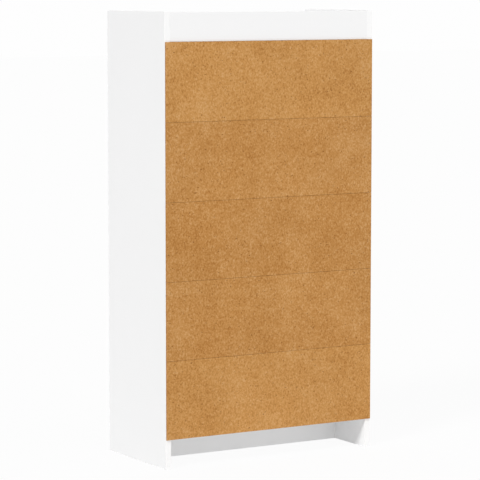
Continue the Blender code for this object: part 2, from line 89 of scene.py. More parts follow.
# ---- node trees ------------------------------------------------------------
class Sheet:
    """A node tree that is filled from left to right."""

    spacing = 190

    def __init__(self, tree: bpy.types.NodeTree) -> None:
        """Start with an empty tree.

        Args:
            tree: The tree of a material, a world or a node group.
        """
        self.tree = tree
        self.tree.nodes.clear()
        self.column = 0

    def node(
        self, kind: str, links: dict[int | str, object] | None = None, **settings: object
    ) -> bpy.types.Node:
        """Add a node.

        Args:
            kind: The node's type name without the ShaderNode prefix.
            links: Socket name or number to a value, or to another node's output.
            settings: Properties of the node, such as operation.

        Returns:
            The new node.
        """
        made = self.tree.nodes.new(kind if kind.startswith("NodeGroup") else "ShaderNode" + kind)
        made.location = (self.column * self.spacing, 0)
        self.column += 1
        for name, value in settings.items():
            setattr(made, name, value)
        for socket, value in (links or {}).items():
            self.feed(value, made.inputs[socket])
        return made

    def feed(self, value: object, target: Socket) -> None:
        """Give a socket its value.

        Args:
            value: Another node's output, or what the socket holds; a colour may leave its alpha out.
            target: The socket.
        """
        if isinstance(value, Socket):
            self.tree.links.new(value, target)
        elif target.type == "RGBA":
            target.default_value = (*value[:3], 1.0)
        else:
            target.default_value = value

    def maths(self, operation: str, first: Reading, second: Reading = 0.0, clamp: bool = False) -> Socket:
        """Work out one value from two.

        Args:
            operation: The Math node's operation.
            first: A number or an output socket.
            second: A number or an output socket.
            clamp: Whether the result is kept between 0 and 1.

        Returns:
            The result's socket.
        """
        return self.node("Math", {0: first, 1: second}, operation=operation, use_clamp=clamp).outputs[0]

    def layered(self, *layers: tuple[Socket, float]) -> Socket:
        """Add several patterns up, each by its own share.

        Args:
            layers: Each pattern's socket and how much of it counts.

        Returns:
            The sum's socket.
        """
        parts = [self.maths("MULTIPLY", pattern, share) for pattern, share in layers]
        total = parts[0]
        for part in parts[1:]:
            total = self.maths("ADD", total, part)
        return total

    def effect(self, group: bpy.types.NodeTree, values: dict[str, object]) -> bpy.types.Node:
        """Place a shared effect.

        Args:
            group: The effect's node group.
            values: Socket name to a number, a colour or another node's output.

        Returns:
            The group's node.
        """
        return self.node("Group", values, node_tree=group)

    def bump(self, height: Socket, depth: float) -> Socket:
        """Turn a height pattern into a change of the surface's direction.

        Args:
            height: The pattern, around 0 to 1.
            depth: What one unit of height stands for, in metres.

        Returns:
            The normal's socket.
        """
        return self.node("Bump", {"Height": height, "Distance": depth, "Strength": 1.0}).outputs[0]

    def scaled(self, vector: Socket, scale: Reading) -> Socket:
        """Multiply a vector or a colour by a number.

        Args:
            vector: Socket of the vector or the colour.
            scale: The factor.

        Returns:
            The product's socket.
        """
        return self.node("VectorMath", {0: vector, "Scale": scale}, operation="SCALE").outputs[0]

    def spread(self, value: Socket, low: float, high: float, to_low: float, to_high: float) -> Socket:
        """Map a value from one range to another and hold it there.

        Args:
            value: The output socket to map.
            low: Value that gives to_low.
            high: Value that gives to_high.
            to_low: Lowest result.
            to_high: Highest result.

        Returns:
            The mapped value's socket.
        """
        links = {"Value": value, "From Min": low, "From Max": high, "To Min": to_low, "To Max": to_high}
        return self.node("MapRange", links).outputs["Result"]

    def blend(self, share: Reading, first: Tint, second: Tint) -> Socket:
        """Mix two colours.

        Args:
            share: How much of the second colour shows, from 0 to 1.
            first: A colour or an output socket.
            second: A colour or an output socket.

        Returns:
            The mixed colour's socket.
        """
        return self.node("Mix", {0: share, 6: first, 7: second}, data_type="RGBA").outputs[2]

    def choose(self, share: Reading, first: Reading, second: Reading) -> Socket:
        """Mix two values.

        Args:
            share: How much of the second value counts, from 0 to 1.
            first: A number or an output socket.
            second: A number or an output socket.

        Returns:
            The mixed value's socket.
        """
        return self.node("Mix", {0: share, 2: first, 3: second}).outputs[0]

    def noise(self, vector: Socket, scale: Reading, detail: float = 3.0, rough: float = 0.5) -> Socket:
        """Add a noise value around 0.5.

        Args:
            vector: Socket of the coordinates.
            scale: Cells to the metre, a number or a socket.
            detail: Number of finer layers.
            rough: Weight of the finer layers.

        Returns:
            The noise's value socket.
        """
        links = {"Vector": vector, "Scale": scale, "Detail": detail, "Roughness": rough}
        return self.node("TexNoise", links).outputs[0]

    def stretch(self, vector: Socket, scale: Point, turn: Point = (0, 0, 0)) -> Socket:
        """Scale and turn the coordinates that a pattern reads.

        Args:
            vector: Socket of the coordinates.
            scale: Factor along each axis.
            turn: Rotation about each axis, in radians.

        Returns:
            The new coordinates' socket.
        """
        links = {"Vector": vector, "Scale": scale, "Rotation": turn}
        return self.node("Mapping", links).outputs[0]


class Effects:
    """Surface effects that several finishes share, each one node group, made on first use."""

    @staticmethod
    def group(
        name: str, inputs: dict[str, tuple[str, object]], outputs: dict[str, str]
    ) -> tuple[Sheet, bpy.types.Node, bpy.types.Node]:
        """Make an empty group with its sockets.

        Args:
            name: The group's name.
            inputs: Socket name to its type and default value.
            outputs: Socket name to its type.

        Returns:
            The sheet, the group's input node and its output node.
        """
        tree = bpy.data.node_groups.new(name, "ShaderNodeTree")
        for label, (kind, default) in inputs.items():
            socket = tree.interface.new_socket(label, in_out="INPUT", socket_type="NodeSocket" + kind)
            if default is not None:
                socket.default_value = default
        for label, kind in outputs.items():
            tree.interface.new_socket(label, in_out="OUTPUT", socket_type="NodeSocket" + kind)
        sheet = Sheet(tree)
        return sheet, sheet.node("NodeGroupInput"), sheet.node("NodeGroupOutput")

    @cached_property
    def tone_drift(self) -> bpy.types.NodeTree:
        """Slow change of brightness over a surface.

        Returns:
            Group with Vector, Color, Scale and Amount in, and Color out.
        """
        inputs = {
            "Vector": ("Vector", None),
            "Color": ("Color", (0.8, 0.8, 0.8, 1.0)),
            "Scale": ("Float", 5.0),
            "Amount": ("Float", 0.02),
        }
        sheet, given, result = self.group("tone_drift", inputs, {"Color": "Color"})
        cloud = sheet.noise(given.outputs["Vector"], given.outputs["Scale"], detail=4.0, rough=0.6)
        swing = sheet.maths("MULTIPLY", sheet.spread(cloud, 0.25, 0.75, -1.0, 1.0), given.outputs["Amount"])
        factor = sheet.maths("ADD", swing, 1.0)
        sheet.feed(sheet.scaled(given.outputs["Color"], factor), result.inputs["Color"])
        return sheet.tree

    @cached_property
    def relief(self) -> bpy.types.NodeTree:
        """Fine pressed or moulded texture.

        Returns:
            Group with Vector, Scale and Coarse in, and Height out.
        """
        inputs = {"Vector": ("Vector", None), "Scale": ("Float", 900.0), "Coarse": ("Float", 0.3)}
        sheet, given, result = self.group("relief", inputs, {"Height": "Float"})
        fine = sheet.noise(given.outputs["Vector"], given.outputs["Scale"], detail=2.0)
        coarse_scale = sheet.maths("MULTIPLY", given.outputs["Scale"], 0.02)
        coarse = sheet.noise(given.outputs["Vector"], coarse_scale, detail=1.0)
        height = sheet.maths("ADD", fine, sheet.maths("MULTIPLY", coarse, given.outputs["Coarse"]))
        sheet.feed(height, result.inputs["Height"])
        return sheet.tree

    @cached_property
    def handling(self) -> bpy.types.NodeTree:
        """Faint smears and hairlines from wiping and handling.

        Returns:
            Group with Vector, Roughness and Amount in, and Roughness out.
        """
        inputs = {"Vector": ("Vector", None), "Roughness": ("Float", 0.4), "Amount": ("Float", 0.05)}
        sheet, given, result = self.group("handling", inputs, {"Roughness": "Float"})
        wiped = sheet.stretch(given.outputs["Vector"], (7, 7, 3))
        smear = sheet.noise(wiped, 1.0, detail=5.0, rough=0.6)
        drawn = sheet.stretch(given.outputs["Vector"], (900, 900, 24), (0.12, 0.05, 0.2))
        hairs = sheet.noise(drawn, 1.0, detail=2.0)
        dull = sheet.spread(smear, 0.3, 0.7, -0.7, 0.7)
        mixed = sheet.maths("ADD", dull, sheet.spread(hairs, 0.62, 0.8, 0, 0.6))
        change = sheet.maths("MULTIPLY", mixed, given.outputs["Amount"])
        sheet.feed(sheet.maths("ADD", change, given.outputs["Roughness"]), result.inputs["Roughness"])
        return sheet.tree

    @cached_property
    def scuffs(self) -> bpy.types.NodeTree:
        """Sparse short rub marks, in patches where a surface gets touched.

        Returns:
            Group with Vector, Scale and Amount in, and Mask out.
        """
        inputs = {"Vector": ("Vector", None), "Scale": ("Float", 55.0), "Amount": ("Float", 0.3)}
        sheet, given, result = self.group("scuffs", inputs, {"Mask": "Float"})
        scaled = sheet.scaled(given.outputs["Vector"], given.outputs["Scale"])
        drawn = sheet.stretch(scaled, (9.0, 9.0, 1.2), (0.5, 0.3, 0.2))
        streaks = sheet.noise(drawn, 1.0, detail=3.0, rough=0.6)
        patches = sheet.noise(sheet.stretch(scaled, (0.12, 0.12, 0.12)), 1.0, detail=2.0)
        thin = sheet.spread(streaks, 0.68, 0.78, 0.0, 1.0)
        near = sheet.spread(patches, 0.52, 0.66, 0.0, 1.0)
        both = sheet.maths("MULTIPLY", thin, near)
        sheet.feed(sheet.maths("MULTIPLY", both, given.outputs["Amount"], clamp=True), result.inputs["Mask"])
        return sheet.tree

    @cached_property
    def pressed_fibres(self) -> bpy.types.NodeTree:
        """Matted wood fibres with lighter strands and dark flecks.

        Returns:
            Group with Vector, Base, Light, Dark, Fleck, Scale, Contrast and Flecks in, and Color
            and Height out.
        """
        inputs = {
            "Vector": ("Vector", None),
            "Base": ("Color", (0.53, 0.27, 0.09, 1.0)),
            "Light": ("Color", (0.7, 0.4, 0.17, 1.0)),
            "Dark": ("Color", (0.2, 0.08, 0.02, 1.0)),
            "Fleck": ("Color", (0.1, 0.04, 0.01, 1.0)),
            "Scale": ("Float", 1.0),
            "Contrast": ("Float", 0.5),
            "Flecks": ("Float", 0.5),
        }
        sheet, given, result = self.group("pressed_fibres", inputs, {"Color": "Color", "Height": "Float"})
        scaled = sheet.scaled(given.outputs["Vector"], given.outputs["Scale"])
        bend = sheet.node("TexNoise", {"Vector": scaled, "Scale": 60.0, "Detail": 1.0}).outputs["Color"]
        pushed = sheet.scaled(bend, 0.012)
        warped = sheet.node("VectorMath", {0: scaled, 1: pushed}, operation="ADD").outputs[0]
        along = sheet.noise(sheet.stretch(warped, (190, 190, 560)), 1.0, detail=2.0, rough=0.6)
        upright = sheet.stretch(warped, (430, 430, 180), (0, 0.4, 0))
        across = sheet.noise(upright, 1.0, detail=2.0, rough=0.6)
        clumps = sheet.noise(sheet.stretch(scaled, (225, 225, 170)), 1.0, detail=3.0, rough=0.55)
        patches = sheet.noise(scaled, 26.0, detail=3.0, rough=0.6)
        clouds = sheet.noise(scaled, 8.0, detail=2.0, rough=0.6)
        mat = sheet.layered((along, 0.18), (across, 0.24), (clumps, 0.36), (patches, 0.10), (clouds, 0.12))
        swing = sheet.maths("MULTIPLY", sheet.spread(mat, 0.38, 0.62, -1.0, 1.0), given.outputs["Contrast"])
        lighter = sheet.maths("MULTIPLY", swing, 1.0, clamp=True)
        darker = sheet.maths("MULTIPLY", swing, -1.0, clamp=True)
        tint = sheet.blend(lighter, given.outputs["Base"], given.outputs["Light"])
        tint = sheet.blend(darker, tint, given.outputs["Dark"])
        cells = sheet.node("TexVoronoi", {"Vector": sheet.stretch(warped, (1.0, 1.0, 1.8)), "Scale": 170.0})
        draw = sheet.node("SeparateColor", {0: cells.outputs["Color"]}).outputs[0]
        lone = sheet.spread(draw, 0.92, 0.94, 0, 1)
        dots = sheet.spread(cells.outputs["Distance"], 0.08, 0.44, 1, 0)
        both = sheet.maths("MULTIPLY", lone, dots)
        fleck = sheet.maths("MULTIPLY", both, given.outputs["Flecks"], clamp=True)
        sheet.feed(sheet.blend(fleck, tint, given.outputs["Fleck"]), result.inputs["Color"])
        height = sheet.maths("SUBTRACT", mat, sheet.maths("MULTIPLY", fleck, 0.3))
        sheet.feed(height, result.inputs["Height"])
        return sheet.tree

    @cached_property
    def turning_rings(self) -> bpy.types.NodeTree:
        """Fine rings that a lathe leaves round the piece's own Z axis.

        Returns:
            Group with Vector, Pitch and Amount in, and Height and Tone out.
        """
        inputs = {"Vector": ("Vector", None), "Pitch": ("Float", 9000.0), "Amount": ("Float", 1.0)}
        sheet, given, result = self.group("turning_rings", inputs, {"Height": "Float", "Tone": "Float"})
        parts = sheet.node("SeparateXYZ", {0: given.outputs["Vector"]})
        flat = sheet.node("CombineXYZ", {0: parts.outputs[0], 1: parts.outputs[1]}).outputs[0]
        radius = sheet.node("VectorMath", {0: flat}, operation="LENGTH").outputs["Value"]
        place = sheet.node("CombineXYZ", {0: radius, 2: parts.outputs[2]}).outputs[0]
        rings = sheet.noise(place, given.outputs["Pitch"], detail=2.0)
        sheet.feed(sheet.maths("MULTIPLY", rings, given.outputs["Amount"]), result.inputs["Height"])
        sheet.feed(sheet.spread(rings, 0.3, 0.7, -1.0, 1.0), result.inputs["Tone"])
        return sheet.tree


EFFECTS = Effects()


# ---- finishes --------------------------------------------------------------
@dataclass(frozen=True)
class Finish:
    """A surface finish, and the record's slot that it belongs to."""

    name: str
    slot: str
    colour: Colour
    roughness: float

    def material(self) -> bpy.types.Material:
        """Make the finish's material on first use.

        Returns:
            The material.
        """
        found = bpy.data.materials.get(self.name)
        if found is None:
            found = bpy.data.materials.new(self.name)
            found.use_nodes = True
            found.diffuse_color = (*self.colour, 1.0)
            sheet = Sheet(found.node_tree)
            shader = sheet.node("BsdfPrincipled", {"Base Color": self.colour, "Roughness": self.roughness})
            sheet.node("OutputMaterial", {0: shader.outputs[0]})
            self.dress(sheet, shader, sheet.node("TexCoord").outputs["Object"])
        return found

    def dress(self, sheet: Sheet, shader: bpy.types.Node, place: Socket) -> None:
        """Add the finish's own nodes.

        Args:
            sheet: The material's sheet.
            shader: The Principled shader.
            place: The piece's own coordinates.
        """
        raise NotImplementedError


@dataclass(frozen=True)
class CoatedBoard(Finish):
    """White melamine paper or edge band, satin with a very fine texture."""

    drift: float = 0.006
    grain: float = 1100.0
    depth: float = 0.000035
    wear: float = 0.25
    wear_shade: float = 0.82
    wear_roughness: float = 0.15
    gloss: float = 0.45

    def dress(self, sheet: Sheet, shader: bpy.types.Node, place: Socket) -> None:
        """Add slow drift, a pearl texture, sparse scuffs and faint handling marks.

        Args:
            sheet: The material's sheet.
            shader: The Principled shader.
            place: The piece's own coordinates.
        """
        drift = {"Vector": place, "Color": self.colour, "Scale": 4.0, "Amount": self.drift}
        tone = sheet.effect(EFFECTS.tone_drift, drift).outputs[0]
        rubs = {"Vector": place, "Scale": 55.0, "Amount": self.wear}
        mask = sheet.effect(EFFECTS.scuffs, rubs).outputs["Mask"]
        worn = tuple(self.wear_shade * part for part in self.colour)
        sheet.feed(sheet.blend(mask, tone, worn), shader.inputs["Base Color"])
        marks = {"Vector": place, "Roughness": self.roughness, "Amount": 0.05}
        rough = sheet.effect(EFFECTS.handling, marks).outputs[0]
        rubbed = sheet.maths("ADD", rough, sheet.maths("MULTIPLY", mask, self.wear_roughness))
        sheet.feed(rubbed, shader.inputs["Roughness"])
        grain = {"Vector": place, "Scale": self.grain, "Coarse": 0.6}
        pearl = sheet.effect(EFFECTS.relief, grain).outputs[0]
        height = sheet.maths("SUBTRACT", pearl, mask)
        sheet.feed(sheet.bump(height, self.depth), shader.inputs["Normal"])
        sheet.feed(self.gloss, shader.inputs["Specular IOR Level"])


@dataclass(frozen=True)
class FibreBoard(Finish):
    """Bare pressed wood: hardboard, or the raw core of chipboard."""

    light: Colour = (0.70, 0.40, 0.16)
    dark: Colour = (0.20, 0.08, 0.02)
    scale: float = 1.0
    fleck: Colour = (0.19, 0.068, 0.012)
    contrast: float = 0.73
    flecks: float = 1.0
    drift: float = 0.04
    depth: float = 0.00012
    uneven: float = 0.08
    gloss: float = 0.25

    def dress(self, sheet: Sheet, shader: bpy.types.Node, place: Socket) -> None:
        """Add matted fibres, dark flecks and slow cloudy change.

        Args:
            sheet: The material's sheet.
            shader: The Principled shader.
            place: The piece's own coordinates.
        """
        values = {
            "Vector": place,
            "Base": self.colour,
            "Light": self.light,
            "Dark": self.dark,
            "Fleck": self.fleck,
            "Scale": self.scale,
            "Contrast": self.contrast,
            "Flecks": self.flecks,
        }
        mat = sheet.effect(EFFECTS.pressed_fibres, values)
        drift = {"Vector": place, "Color": mat.outputs["Color"], "Scale": 5.0, "Amount": self.drift}
        sheet.feed(sheet.effect(EFFECTS.tone_drift, drift).outputs[0], shader.inputs["Base Color"])
        height = mat.outputs["Height"]
        duller, shinier = self.roughness + self.uneven, self.roughness - self.uneven
        sheet.feed(sheet.spread(height, 0.2, 0.8, duller, shinier), shader.inputs["Roughness"])
        sheet.feed(sheet.bump(height, self.depth), shader.inputs["Normal"])
        sheet.feed(self.gloss, shader.inputs["Specular IOR Level"])


@dataclass(frozen=True)
class TurnedMetal(Finish):
    """Metal turned on a lathe or plated, with fine rings."""

    pitch: float = 9000.0
    ring: float = 0.08
    depth: float = 0.000004

    def dress(self, sheet: Sheet, shader: bpy.types.Node, place: Socket) -> None:
        """Add rings to the roughness and the relief.

        Args:
            sheet: The material's sheet.
            shader: The Principled shader.
            place: The piece's own coordinates.
        """
        sheet.feed(1.0, shader.inputs["Metallic"])
        rings = sheet.effect(EFFECTS.turning_rings, {"Vector": place, "Pitch": self.pitch})
        marks = {"Vector": place, "Roughness": self.roughness, "Amount": 0.08}
        smeared = sheet.effect(EFFECTS.handling, marks).outputs[0]
        swing = sheet.maths("MULTIPLY", rings.outputs["Tone"], self.ring)
        sheet.feed(sheet.maths("ADD", smeared, swing, clamp=True), shader.inputs["Roughness"])
        drift = {"Vector": place, "Color": self.colour, "Scale": 60.0, "Amount": 0.06}
        sheet.feed(sheet.effect(EFFECTS.tone_drift, drift).outputs[0], shader.inputs["Base Color"])
        sheet.feed(sheet.bump(rings.outputs["Height"], self.depth), shader.inputs["Normal"])


@dataclass(frozen=True)
class Moulded(Finish):
    """Injection-moulded nylon with a spark-eroded texture."""

    grain: float = 1100.0
    depth: float = 0.00002
    milkiness: float = 0.05

    def dress(self, sheet: Sheet, shader: bpy.types.Node, place: Socket) -> None:
        """Add a mould texture and faint handling marks.

        Args:
            sheet: The material's sheet.
            shader: The Principled shader.
            place: The piece's own coordinates.
        """
        grain = {"Vector": place, "Scale": self.grain, "Coarse": 0.4}
        pearl = sheet.effect(EFFECTS.relief, grain).outputs[0]
        sheet.feed(sheet.bump(pearl, self.depth), shader.inputs["Normal"])
        drift = {"Vector": place, "Color": self.colour, "Scale": 40.0, "Amount": 0.02}
        sheet.feed(sheet.effect(EFFECTS.tone_drift, drift).outputs[0], shader.inputs["Base Color"])
        marks = {"Vector": place, "Roughness": self.roughness, "Amount": 0.06}
        sheet.feed(sheet.effect(EFFECTS.handling, marks).outputs[0], shader.inputs["Roughness"])
        sheet.feed(self.milkiness, shader.inputs["Subsurface Weight"])


HARDBOARD_LIGHT: Colour = (0.68, 0.40, 0.175)
HARDBOARD_DARK: Colour = (0.31, 0.11, 0.015)


class Finishes(Enum):
    """The cabinet's finishes."""

    BOARD_FACE = CoatedBoard("melamine_face", "white_board", (0.918, 0.918, 0.919), 0.42)
    EDGE_BAND = CoatedBoard(
        "edge_band",
        "white_board",
        (0.965, 0.965, 0.963),
        0.34,
        drift=0.004,
        grain=800.0,
        depth=0.000025,
        wear=0.5,
    )
    BACK_FILM = CoatedBoard(
        "back_inner_film",
        "hardboard",
        (0.86, 0.86, 0.85),
        0.5,
        drift=0.015,
        grain=700.0,
        depth=0.00004,
        wear=0.2,
    )
    HARDBOARD_PALE = FibreBoard(
        "hardboard_pale", "hardboard", (0.547, 0.268, 0.0735), 0.80, HARDBOARD_LIGHT, HARDBOARD_DARK
    )
    HARDBOARD_EVEN = FibreBoard(
        "hardboard_even", "hardboard", (0.510, 0.243, 0.0645), 0.80, HARDBOARD_LIGHT, HARDBOARD_DARK
    )
    HARDBOARD_DEEP = FibreBoard(
        "hardboard_deep", "hardboard", (0.497, 0.234, 0.0605), 0.80, HARDBOARD_LIGHT, HARDBOARD_DARK
    )
    HARDBOARD_CUT = FibreBoard(
        "hardboard_cut_edge", "hardboard", (0.40, 0.19, 0.06), 0.88, scale=1.4, depth=0.0002
    )
    CHIPBOARD_CORE = FibreBoard(
        "chipboard_core",
        "white_board",
        (0.50, 0.34, 0.19),
        0.90,
        light=(0.72, 0.55, 0.36),
        dark=(0.16, 0.09, 0.04),
        scale=0.45,
        contrast=0.9,
        depth=0.0004,
    )
    ZINC = TurnedMetal("zinc_plated", "zinc", (0.62, 0.63, 0.65), 0.32, pitch=4000.0, ring=0.05)
    STEEL = TurnedMetal("turned_steel", "steel", (0.60, 0.59, 0.57), 0.24)
    NYLON = Moulded("moulded_nylon", "nylon", (0.80, 0.80, 0.78), 0.48)
    MAGNET = Moulded("ferrite_magnet", "nylon", (0.06, 0.06, 0.065), 0.55, grain=2200.0, depth=0.00004)
    BEECH = FibreBoard(
        "beech_dowel",
        "beech",
        (0.62, 0.42, 0.24),
        0.62,
        light=(0.74, 0.55, 0.35),
        dark=(0.34, 0.19, 0.09),
        scale=0.8,
        contrast=0.6,
        flecks=0.4,
        depth=0.00006,
    )

    @property
    def material(self) -> bpy.types.Material:
        """The finish's material."""
        return self.value.material()


# ---- shapes ----------------------------------------------------------------
@dataclass(frozen=True)
class Space:
    """An axis-aligned space."""

    low: Vector
    high: Vector

    @classmethod
    def of(cls, node: str) -> Space:
        """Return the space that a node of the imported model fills."""
        return cls(*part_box(node))

    @property
    def middle(self) -> Vector:
        """The space's centre."""
        return (self.low + self.high) / 2

    @property
    def size(self) -> Vector:
        """The space's extent along each axis."""
        return self.high - self.low

    @property
    def thin_axis(self) -> int:
        """The axis along which the space is thinnest."""
        return min(range(3), key=lambda axis: self.size[axis])


@dataclass(frozen=True)
class Seat:
    """Where a piece's own zero lies and which way its Z points."""

    point: Vector
    axis: Vector

    @property
    def matrix(self) -> Matrix:
        """The place as a matrix."""
        return Matrix.Translation(self.point) @ self.axis.to_track_quat("Z", "Y").to_matrix().to_4x4()


@dataclass(frozen=True)
class Bore:
    """A round hole, from its mouth to its bottom."""

    mouth: Vector
    bottom: Vector
    radius: float
    sides: int = 32
    end_radius: float | None = None


class Bench:
    """Makes meshes and fits them into the model."""

    @staticmethod
    def mesh(name: str, bm: bmesh.types.BMesh, finishes: list[Finishes]) -> bpy.types.Mesh:
        """Turn a bmesh into a mesh with its finishes.

        Args:
            name: The mesh's name.
            bm: The shape, which is freed.
            finishes: The finish of each material slot.

        Returns:
            The mesh.
        """
        made = bpy.data.meshes.new(name)
        bm.to_mesh(made)
        bm.free()
        for finish in finishes:
            made.materials.append(finish.material)
        return made

    @staticmethod
    def fit(
        name: str, mesh: bpy.types.Mesh, node: str, slot: str, seat: Seat | None = None
    ) -> bpy.types.Object:
        """Put a piece where a node stands, in its place and on its body.

        Args:
            name: The piece's name.
            mesh: Its shape.
            node: The node that it stands for.
            slot: The record's material slot.
            seat: Where the shape's own zero lies and where its Z points, the frame's own if left out.

        Returns:
            The piece.
        """
        piece = Bench.extra(name, mesh, node, slot, seat)
        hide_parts(node)
        return piece

    @staticmethod
    def extra(
        name: str, mesh: bpy.types.Mesh, node: str, slot: str, seat: Seat | None = None
    ) -> bpy.types.Object:
        """Add a piece that moves with a node's body and stands for no node.

        Args:
            name: The piece's name.
            mesh: Its shape.
            node: A node of the body that it moves with.
            slot: The record's material slot; not used.
            seat: Where the shape's own zero lies and where its Z points, the frame's own if left out.

        Returns:
            The piece.
        """
        piece = bpy.data.objects.new(name, mesh)
        bpy.context.scene.collection.objects.link(piece)
        if seat is not None:
            piece.matrix_world = seat.matrix
        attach(piece, frame["nodes"][node]["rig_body"])
        return piece

    @staticmethod
    def slab(space: Space, radius: float, segments: int = 4) -> bmesh.types.BMesh:
        """Make a block whose edges are rounded.

        Args:
            space: The block's extent.
            radius: Radius of its edges.
            segments: Facets across a rounded edge.

        Returns:
            The shape.
        """
        bm = bmesh.new()
        matrix = Matrix.Translation(space.middle) @ Matrix.Diagonal((*space.size, 1.0))
        bmesh.ops.create_cube(bm, size=1.0, matrix=matrix)
        if radius > 0:
            edges = bm.edges[:]
            bmesh.ops.bevel(bm, geom=edges, offset=radius, segments=segments, profile=0.5, affect="EDGES")
        return bm

    @staticmethod
    def rounded(bm: bmesh.types.BMesh, radius: float, segments: int) -> bmesh.types.BMesh:
        """Round the edges of a shape, each by its own weight.

        Args:
            bm: The shape, with a bevel weight on each edge; it is freed.
            radius: Radius at full weight.
            segments: Facets across a rounded edge.

        Returns:
            The rounded shape.
        """
        blank = bpy.data.objects.new("blank", Bench.mesh("blank", bm, []))
        bpy.context.scene.collection.objects.link(blank)
        bevel = blank.modifiers.new("rounding", "BEVEL")
        bevel.width = radius
        bevel.segments = segments
        bevel.limit_method = "WEIGHT"
        made = bpy.data.meshes.new_from_object(blank.evaluated_get(bpy.context.evaluated_depsgraph_get()))
        bpy.data.objects.remove(blank, do_unlink=True)
        result = bmesh.new()
        result.from_mesh(made)
        bpy.data.meshes.remove(made)
        return result

    @staticmethod
    def crisp(mesh: bpy.types.Mesh, angle: float = 35.0) -> bpy.types.Mesh:
        """Shade a mesh smooth but for its sharp edges.

        Args:
            mesh: The mesh.
            angle: Edges sharper than this stay sharp, in degrees.

        Returns:
            The same mesh.
        """
        mesh.shade_smooth()
        mesh.set_sharp_from_angle(angle=math.radians(angle))
        return mesh

    @staticmethod
    def even_shading(piece: bpy.types.Object) -> bpy.types.Object:
        """Let the large faces of a piece rule its shading, so that they stay flat.

        Args:
            piece: The piece.

        Returns:
            The same piece.
        """
        modifier = piece.modifiers.new("even_shading", "WEIGHTED_NORMAL")
        modifier.keep_sharp = True
        modifier.weight = 100
        return piece

    @staticmethod
    def drilled(mesh: bpy.types.Mesh, bores: list[Bore], inside: Finishes) -> bpy.types.Mesh:
        """Bore round holes in a mesh.

        Args:
            mesh: The closed shape to bore.
            bores: The holes.
            inside: Finish of the holes' walls.

        Returns:
            The bored mesh.
        """
        if not bores:
            return mesh
        bm = bmesh.new()
        for bore in bores:
            way = bore.bottom - bore.mouth
            bmesh.ops.create_cone(
                bm,
                cap_ends=True,
                segments=bore.sides,
                radius1=bore.radius,
                radius2=bore.radius if bore.end_radius is None else bore.end_radius,
                depth=way.length,
                matrix=Seat((bore.mouth + bore.bottom) / 2, way).matrix,
            )
        return Bench.carved(mesh, Bench.mesh("drill", bm, [inside]))

    @staticmethod
    def carved(mesh: bpy.types.Mesh, cutter_mesh: bpy.types.Mesh) -> bpy.types.Mesh:
        """Cut one closed mesh out of another.

        Args:
            mesh: The shape that is cut.
            cutter_mesh: The shape that is taken away.

        Returns:
            The cut mesh, with the cutter's finish on the new faces.
        """
        body = bpy.data.objects.new("body", mesh)
        cutter = bpy.data.objects.new("cutter", cutter_mesh)
        for obj in (body, cutter):
            bpy.context.scene.collection.objects.link(obj)
        boolean = body.modifiers.new("cut", "BOOLEAN")
        boolean.operation = "DIFFERENCE"
        boolean.solver = "EXACT"
        boolean.material_mode = "TRANSFER"
        boolean.object = cutter
        made = bpy.data.meshes.new_from_object(body.evaluated_get(bpy.context.evaluated_depsgraph_get()))
        made.name = mesh.name
        for obj in (body, cutter):
            bpy.data.objects.remove(obj, do_unlink=True)
        return made

    @staticmethod
    def turned(name: str, profile: list[Pair], sides: int, finish: Finishes) -> bpy.types.Mesh:
        """Turn a closed shape about Z.

        Args:
            name: The mesh's name.
            profile: Points of half the section as (radius, height).
            sides: Facets round the axis.
            finish: The finish of the whole shape.

        Returns:
            The mesh: closed at the axis where the profile's ends lie on it, and otherwise a ring.
        """
        bm = bmesh.new()
        verts = [bm.verts.new((radius, 0, height)) for radius, height in profile]
        edges = [bm.edges.new(pair) for pair in zip(verts, verts[1:])]
        if profile[0][0] > 0:
            edges.append(bm.edges.new((verts[-1], verts[0])))
        turn = {"axis": (0, 0, 1), "cent": (0, 0, 0), "angle": math.tau}
        bmesh.ops.spin(bm, geom=verts + edges, steps=sides, use_merge=True, **turn)
        bmesh.ops.remove_doubles(bm, verts=bm.verts, dist=1e-7)
        bmesh.ops.recalc_face_normals(bm, faces=bm.faces)
        return Bench.crisp(Bench.mesh(name, bm, [finish]))

    @staticmethod
    def cross_recess(size: float, width: float, depth: float, finish: Finishes) -> bpy.types.Mesh:
        """Make the cutter of a screw's tapered cross, open at z = 0 and pointing down.

        Args:
            size: Length of each arm's pair across the recess.
            width: Width of an arm.
            depth: Depth of the recess.
            finish: Finish of the recess's walls.

        Returns:
            The cutter's mesh.
        """
        bm = bmesh.new()
        loops = []
        for level, share in ((-depth, 0.5), (depth * 0.5, 1.25)):
            reach = size / 2 * share
            half = width / 2 * (0.7 + 0.3 * share)
            corners = [(reach, half), (half, half), (half, reach)]
            loop = []
            for quarter in range(4):
                turn = Matrix.Rotation(quarter * math.pi / 2, 2)
                loop += [(*(turn @ Vector(corner)), level) for corner in corners]
            loops.append([bm.verts.new(point) for point in loop])
        count = len(loops[0])
        for index in range(count):
            after = (index + 1) % count
            bm.faces.new((loops[0][index], loops[0][after], loops[1][after], loops[1][index]))
        bm.faces.new(loops[1])
        bm.faces.new(loops[0][::-1])
        bmesh.ops.recalc_face_normals(bm, faces=bm.faces)
        return Bench.mesh("cross_recess", bm, [finish])


